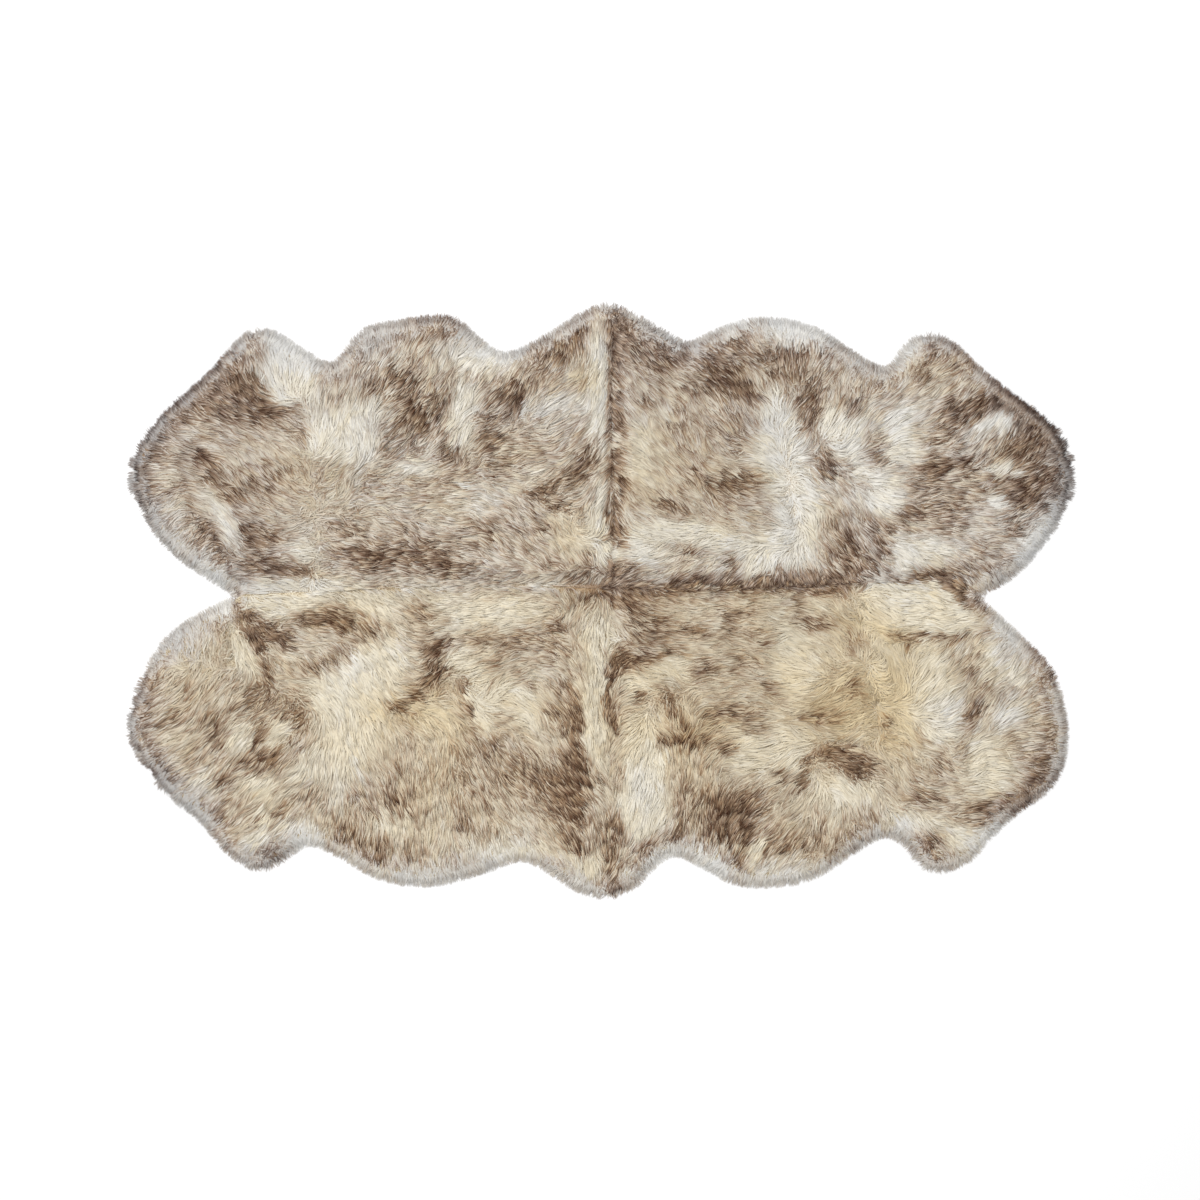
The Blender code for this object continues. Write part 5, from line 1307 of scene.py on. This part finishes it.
# Each strand's five points: its root, both sides and the ridge of its middle, and its tip.
def ridgedStrands(spots, rng):
    root, middle, tip = spots
    count = len(root)
    width = strandSizes["width"] * rng.uniform(*strandSizes["widthVary"], count)[:, None]
    run = (tip - root) / np.linalg.norm(tip - root, axis=1)[:, None]
    sideways = np.column_stack([-run[:, 1], run[:, 0], np.zeros(count)])
    sideways /= np.linalg.norm(sideways, axis=1)[:, None] + 1e-9
    upwards = np.cross(run, sideways)
    roll = np.radians(strandSizes["roll"]) * rng.uniform(-1, 1, count)[:, None]
    flank = (sideways * np.cos(roll) + upwards * np.sin(roll)) * width / 2
    ridge = (upwards * np.cos(roll) - sideways * np.sin(roll)) * width * strandSizes["ridge"]
    points = np.stack([root, middle + flank, middle - flank, middle + ridge, tip], axis=1)
    points[..., 2] = np.maximum(points[..., 2], fleece["least"])
    return points


strandTones = {
    "inSeam": (0.002, 0.010),  # distance from a seam over which a tip stops lying in it
    "tipShare": 0.4,  # of the way from middle to tip where the tone is taken, away from the seams
    "highest": 1.2,  # brown that a place can have
    "darker": (0.25, 0.40),  # share of darker strands in pale wool, and how much more in brown
    "darkest": 1.65,  # brown of a darker strand over its place's
    "palest": 0.6,  # and of a paler one
    "vary": 0.05,  # how far strands differ in brown besides
    "rimStray": 1.5,  # how much further off the tips at the rim look for their tone
    "rimMost": 0.12,  # the most brown at the very tips of the rim
    "neckMost": 0.12,  # and how much more at the neck ends
    "brownMost": 0.7,  # and where the rim is brown
    "innerMost": 0.85,  # and inside the rim
    "innerFade": (0.001, 0.018),  # depth over which that sets in
    "past": 0.2,  # what is left of any brown past the most
    "middle": 0.5,  # place along a lock that the middle's colour has
    "seamMiddle": 0.26,  # and how much less where the tip lies in a seam
    "edge": 0.006,  # how much browner one side of a strand is, and paler the other
    "limits": (0.015, 0.985),  # of brown in the colour map
    "ends": (0.02, 0.98),  # places along a lock that the root's and the tip's colour have
}


# A strand's places in the colour map: how brown it is across, and its row of tint and its place along
# a lock upwards.
def strandTone(path, side, own, spiky, rng):
    count = len(spiky)
    sizes = strandTones
    atSeam = 1 - ramp(*sizes["inSeam"], np.abs(valueAt(side, *path[2].T)))
    tipShare = (sizes["tipShare"] + (1 - sizes["tipShare"]) * atSeam)[:, None]
    at = path[1] * (1 - tipShare) + path[2] * tipShare + own["stray"]
    brown = np.clip(valueAt(brownness, *at.T) * (1 + own["brown"]), 0, sizes["highest"])
    darker = rng.uniform(0, 1, count) < sizes["darker"][0] + sizes["darker"][1] * brown
    brown = brown * np.where(darker, sizes["darkest"], sizes["palest"]) + rng.normal(0, sizes["vary"], count)
    # the very last tips at the rim are pale
    seen = (path[2] + sizes["rimStray"] * own["stray"]).T
    most = sizes["rimMost"] + sizes["neckMost"] * spiky + sizes["brownMost"] * valueAt(brownRims, *seen)
    most += sizes["innerMost"] * ramp(*sizes["innerFade"], valueAt(paleDepth, *seen))
    brown = np.where(brown > most, most + sizes["past"] * (brown - most), brown)
    across = np.clip(brown, *sizes["limits"])[:, None] + sizes["edge"] * np.array([0, -1, 1, 0, 0])
    last = tone["rows"] - 1
    row = (0.5 + 0.5 * (valueAt(tint, *at.T) + own["tint"])) * last
    row = np.clip(np.floor(row + rng.uniform(0, 1, count)), 0, last)
    # the brown starts further out on a strand whose tip lies in a seam
    middle = sizes["middle"] - sizes["seamMiddle"] * atSeam
    root, tip = (np.full(count, place) for place in sizes["ends"])
    upward = np.column_stack([root, middle, middle, middle, tip])
    return np.stack([across, (row[:, None] + upward) / tone["rows"]], axis=-1).reshape(-1, 2)


# A pelt's locks: pointed ridged strands, gathered lock by lock, that lie over the dense wool.
def woolLocks(name, material, seed):
    rng = np.random.default_rng(seed)
    side, lie = sides[name], lieOf(name)
    roots = strandRoots(side, rng)
    middles, lock = nearestLocks(roots, rng)
    traits = lockTraits(len(middles), rng)
    lockPath = marchFrom(middles, lie, traits["length"], traits["turn"], traits["curl"])
    own = {trait: values[lock] for trait, values in traits.items()}
    spiky = valueAt(neckEnds, *roots.T)
    path = strandPaths(roots, lie, own, [spot[lock] for spot in lockPath], spiky, rng)
    path = trimAtOutline(path, own["lift"], spiky, rng)
    # by stretches, the wool of one side leans further over the seam
    lean = softNoise(*roots.T, *strandSizes["leanNoise"]) * (1 if name.startswith("back") else -1)
    reach = strandSizes["over"] * rng.uniform(0, 1, len(roots)) + strandSizes["lean"] * np.clip(lean, 0, 1)
    path = keepToSide(path, side, reach)
    points = ridgedStrands(liftedSpots(path, own["lift"], rng), rng)
    woolTone = strandTone(path, side, own, spiky, rng)
    # two flanks from the root, two to the tip
    pattern = np.array([0, 3, 1, 0, 2, 3, 3, 4, 1, 2, 4, 3])
    corners = (np.arange(len(roots))[:, None] * 5 + pattern).ravel()
    maps = {"WoolTone": woolTone, "OFBake": woolTone}
    counts = np.full(4 * len(roots), 3)
    meshObject("locks_" + name, points.reshape(-1, 3), counts, corners, maps, material)


lockMaterial = longWool("long_wool_locks", 0)
denseMaterial = longWool("dense_wool", woolColours["crimpDepth"])
hideMaterial = suede()
firstSeed = 100
for seed, name in enumerate(pelts, firstSeed):
    hideSheet(name, hideMaterial)
    denseWool(name, denseMaterial)
    woolLocks(name, lockMaterial, seed)
    print("pelt", name, "made")
seamSewing(threadMaterial())
print("seams sewn")


# A matt white floor under a white studio sky, lit from straight above and a little from the upper left.
studio = {
    "sky": 0.42,  # strength
    "lamp": 420.0,  # watts
    "lampSize": 3.5,
    "lampPlace": (-1.2, 1.2, 7.0),
    "floor": "#fbfbfb",
    "floorHalf": 6.0,
    "floorDrop": 0.0005,  # so that the rug's underside clears it
}


def studioFloor():
    material = newMaterial("white_floor", {
        "Base Color": hexColour(studio["floor"]), "Roughness": 1.0, "Specular IOR Level": 0.0,
    })[0]
    mesh = bpy.data.meshes.new("floor")
    half = studio["floorHalf"]
    corners = [(-half, -half, 0), (half, -half, 0), (half, half, 0), (-half, half, 0)]
    mesh.from_pydata(corners, [], [(0, 1, 2, 3)])
    mesh.materials.append(material)
    floor = bpy.data.objects.new("floor", mesh)
    floor.location.z = -studio["floorDrop"]
    bpy.context.scene.collection.objects.link(floor)


def studioLight():
    world = bpy.data.worlds.new("white_sky")
    world.use_nodes = True
    back = world.node_tree.nodes["Background"]
    back.inputs["Color"].default_value = (1, 1, 1, 1)
    back.inputs["Strength"].default_value = studio["sky"]
    bpy.context.scene.world = world
    lamp = bpy.data.lights.new("overhead", "AREA")
    lamp.shape = "DISK"
    lamp.size = studio["lampSize"]
    lamp.energy = studio["lamp"]
    holder = bpy.data.objects.new("overhead", lamp)
    holder.location = studio["lampPlace"]
    holder.rotation_euler = Vector(holder.location).to_track_quat("Z", "Y").to_euler()
    bpy.context.scene.collection.objects.link(holder)


# Straight down, as the photograph was taken: the frame's width is measured at the wool's height.
view = {"lens": 85, "sensor": 36, "frameWidth": 2.257, "woolHeight": 0.03}


def camera():
    data = bpy.data.cameras.new("camera")
    data.lens, data.sensor_width = view["lens"], view["sensor"]
    holder = bpy.data.objects.new("camera", data)
    away = view["frameWidth"] * view["lens"] / view["sensor"]
    holder.location = (*packedShift, away + view["woolHeight"])
    bpy.context.scene.collection.objects.link(holder)
    bpy.context.scene.camera = holder


studioFloor()
studioLight()
camera()
bpy.context.scene.view_settings.view_transform = "Standard"
print("floor, light and camera set")
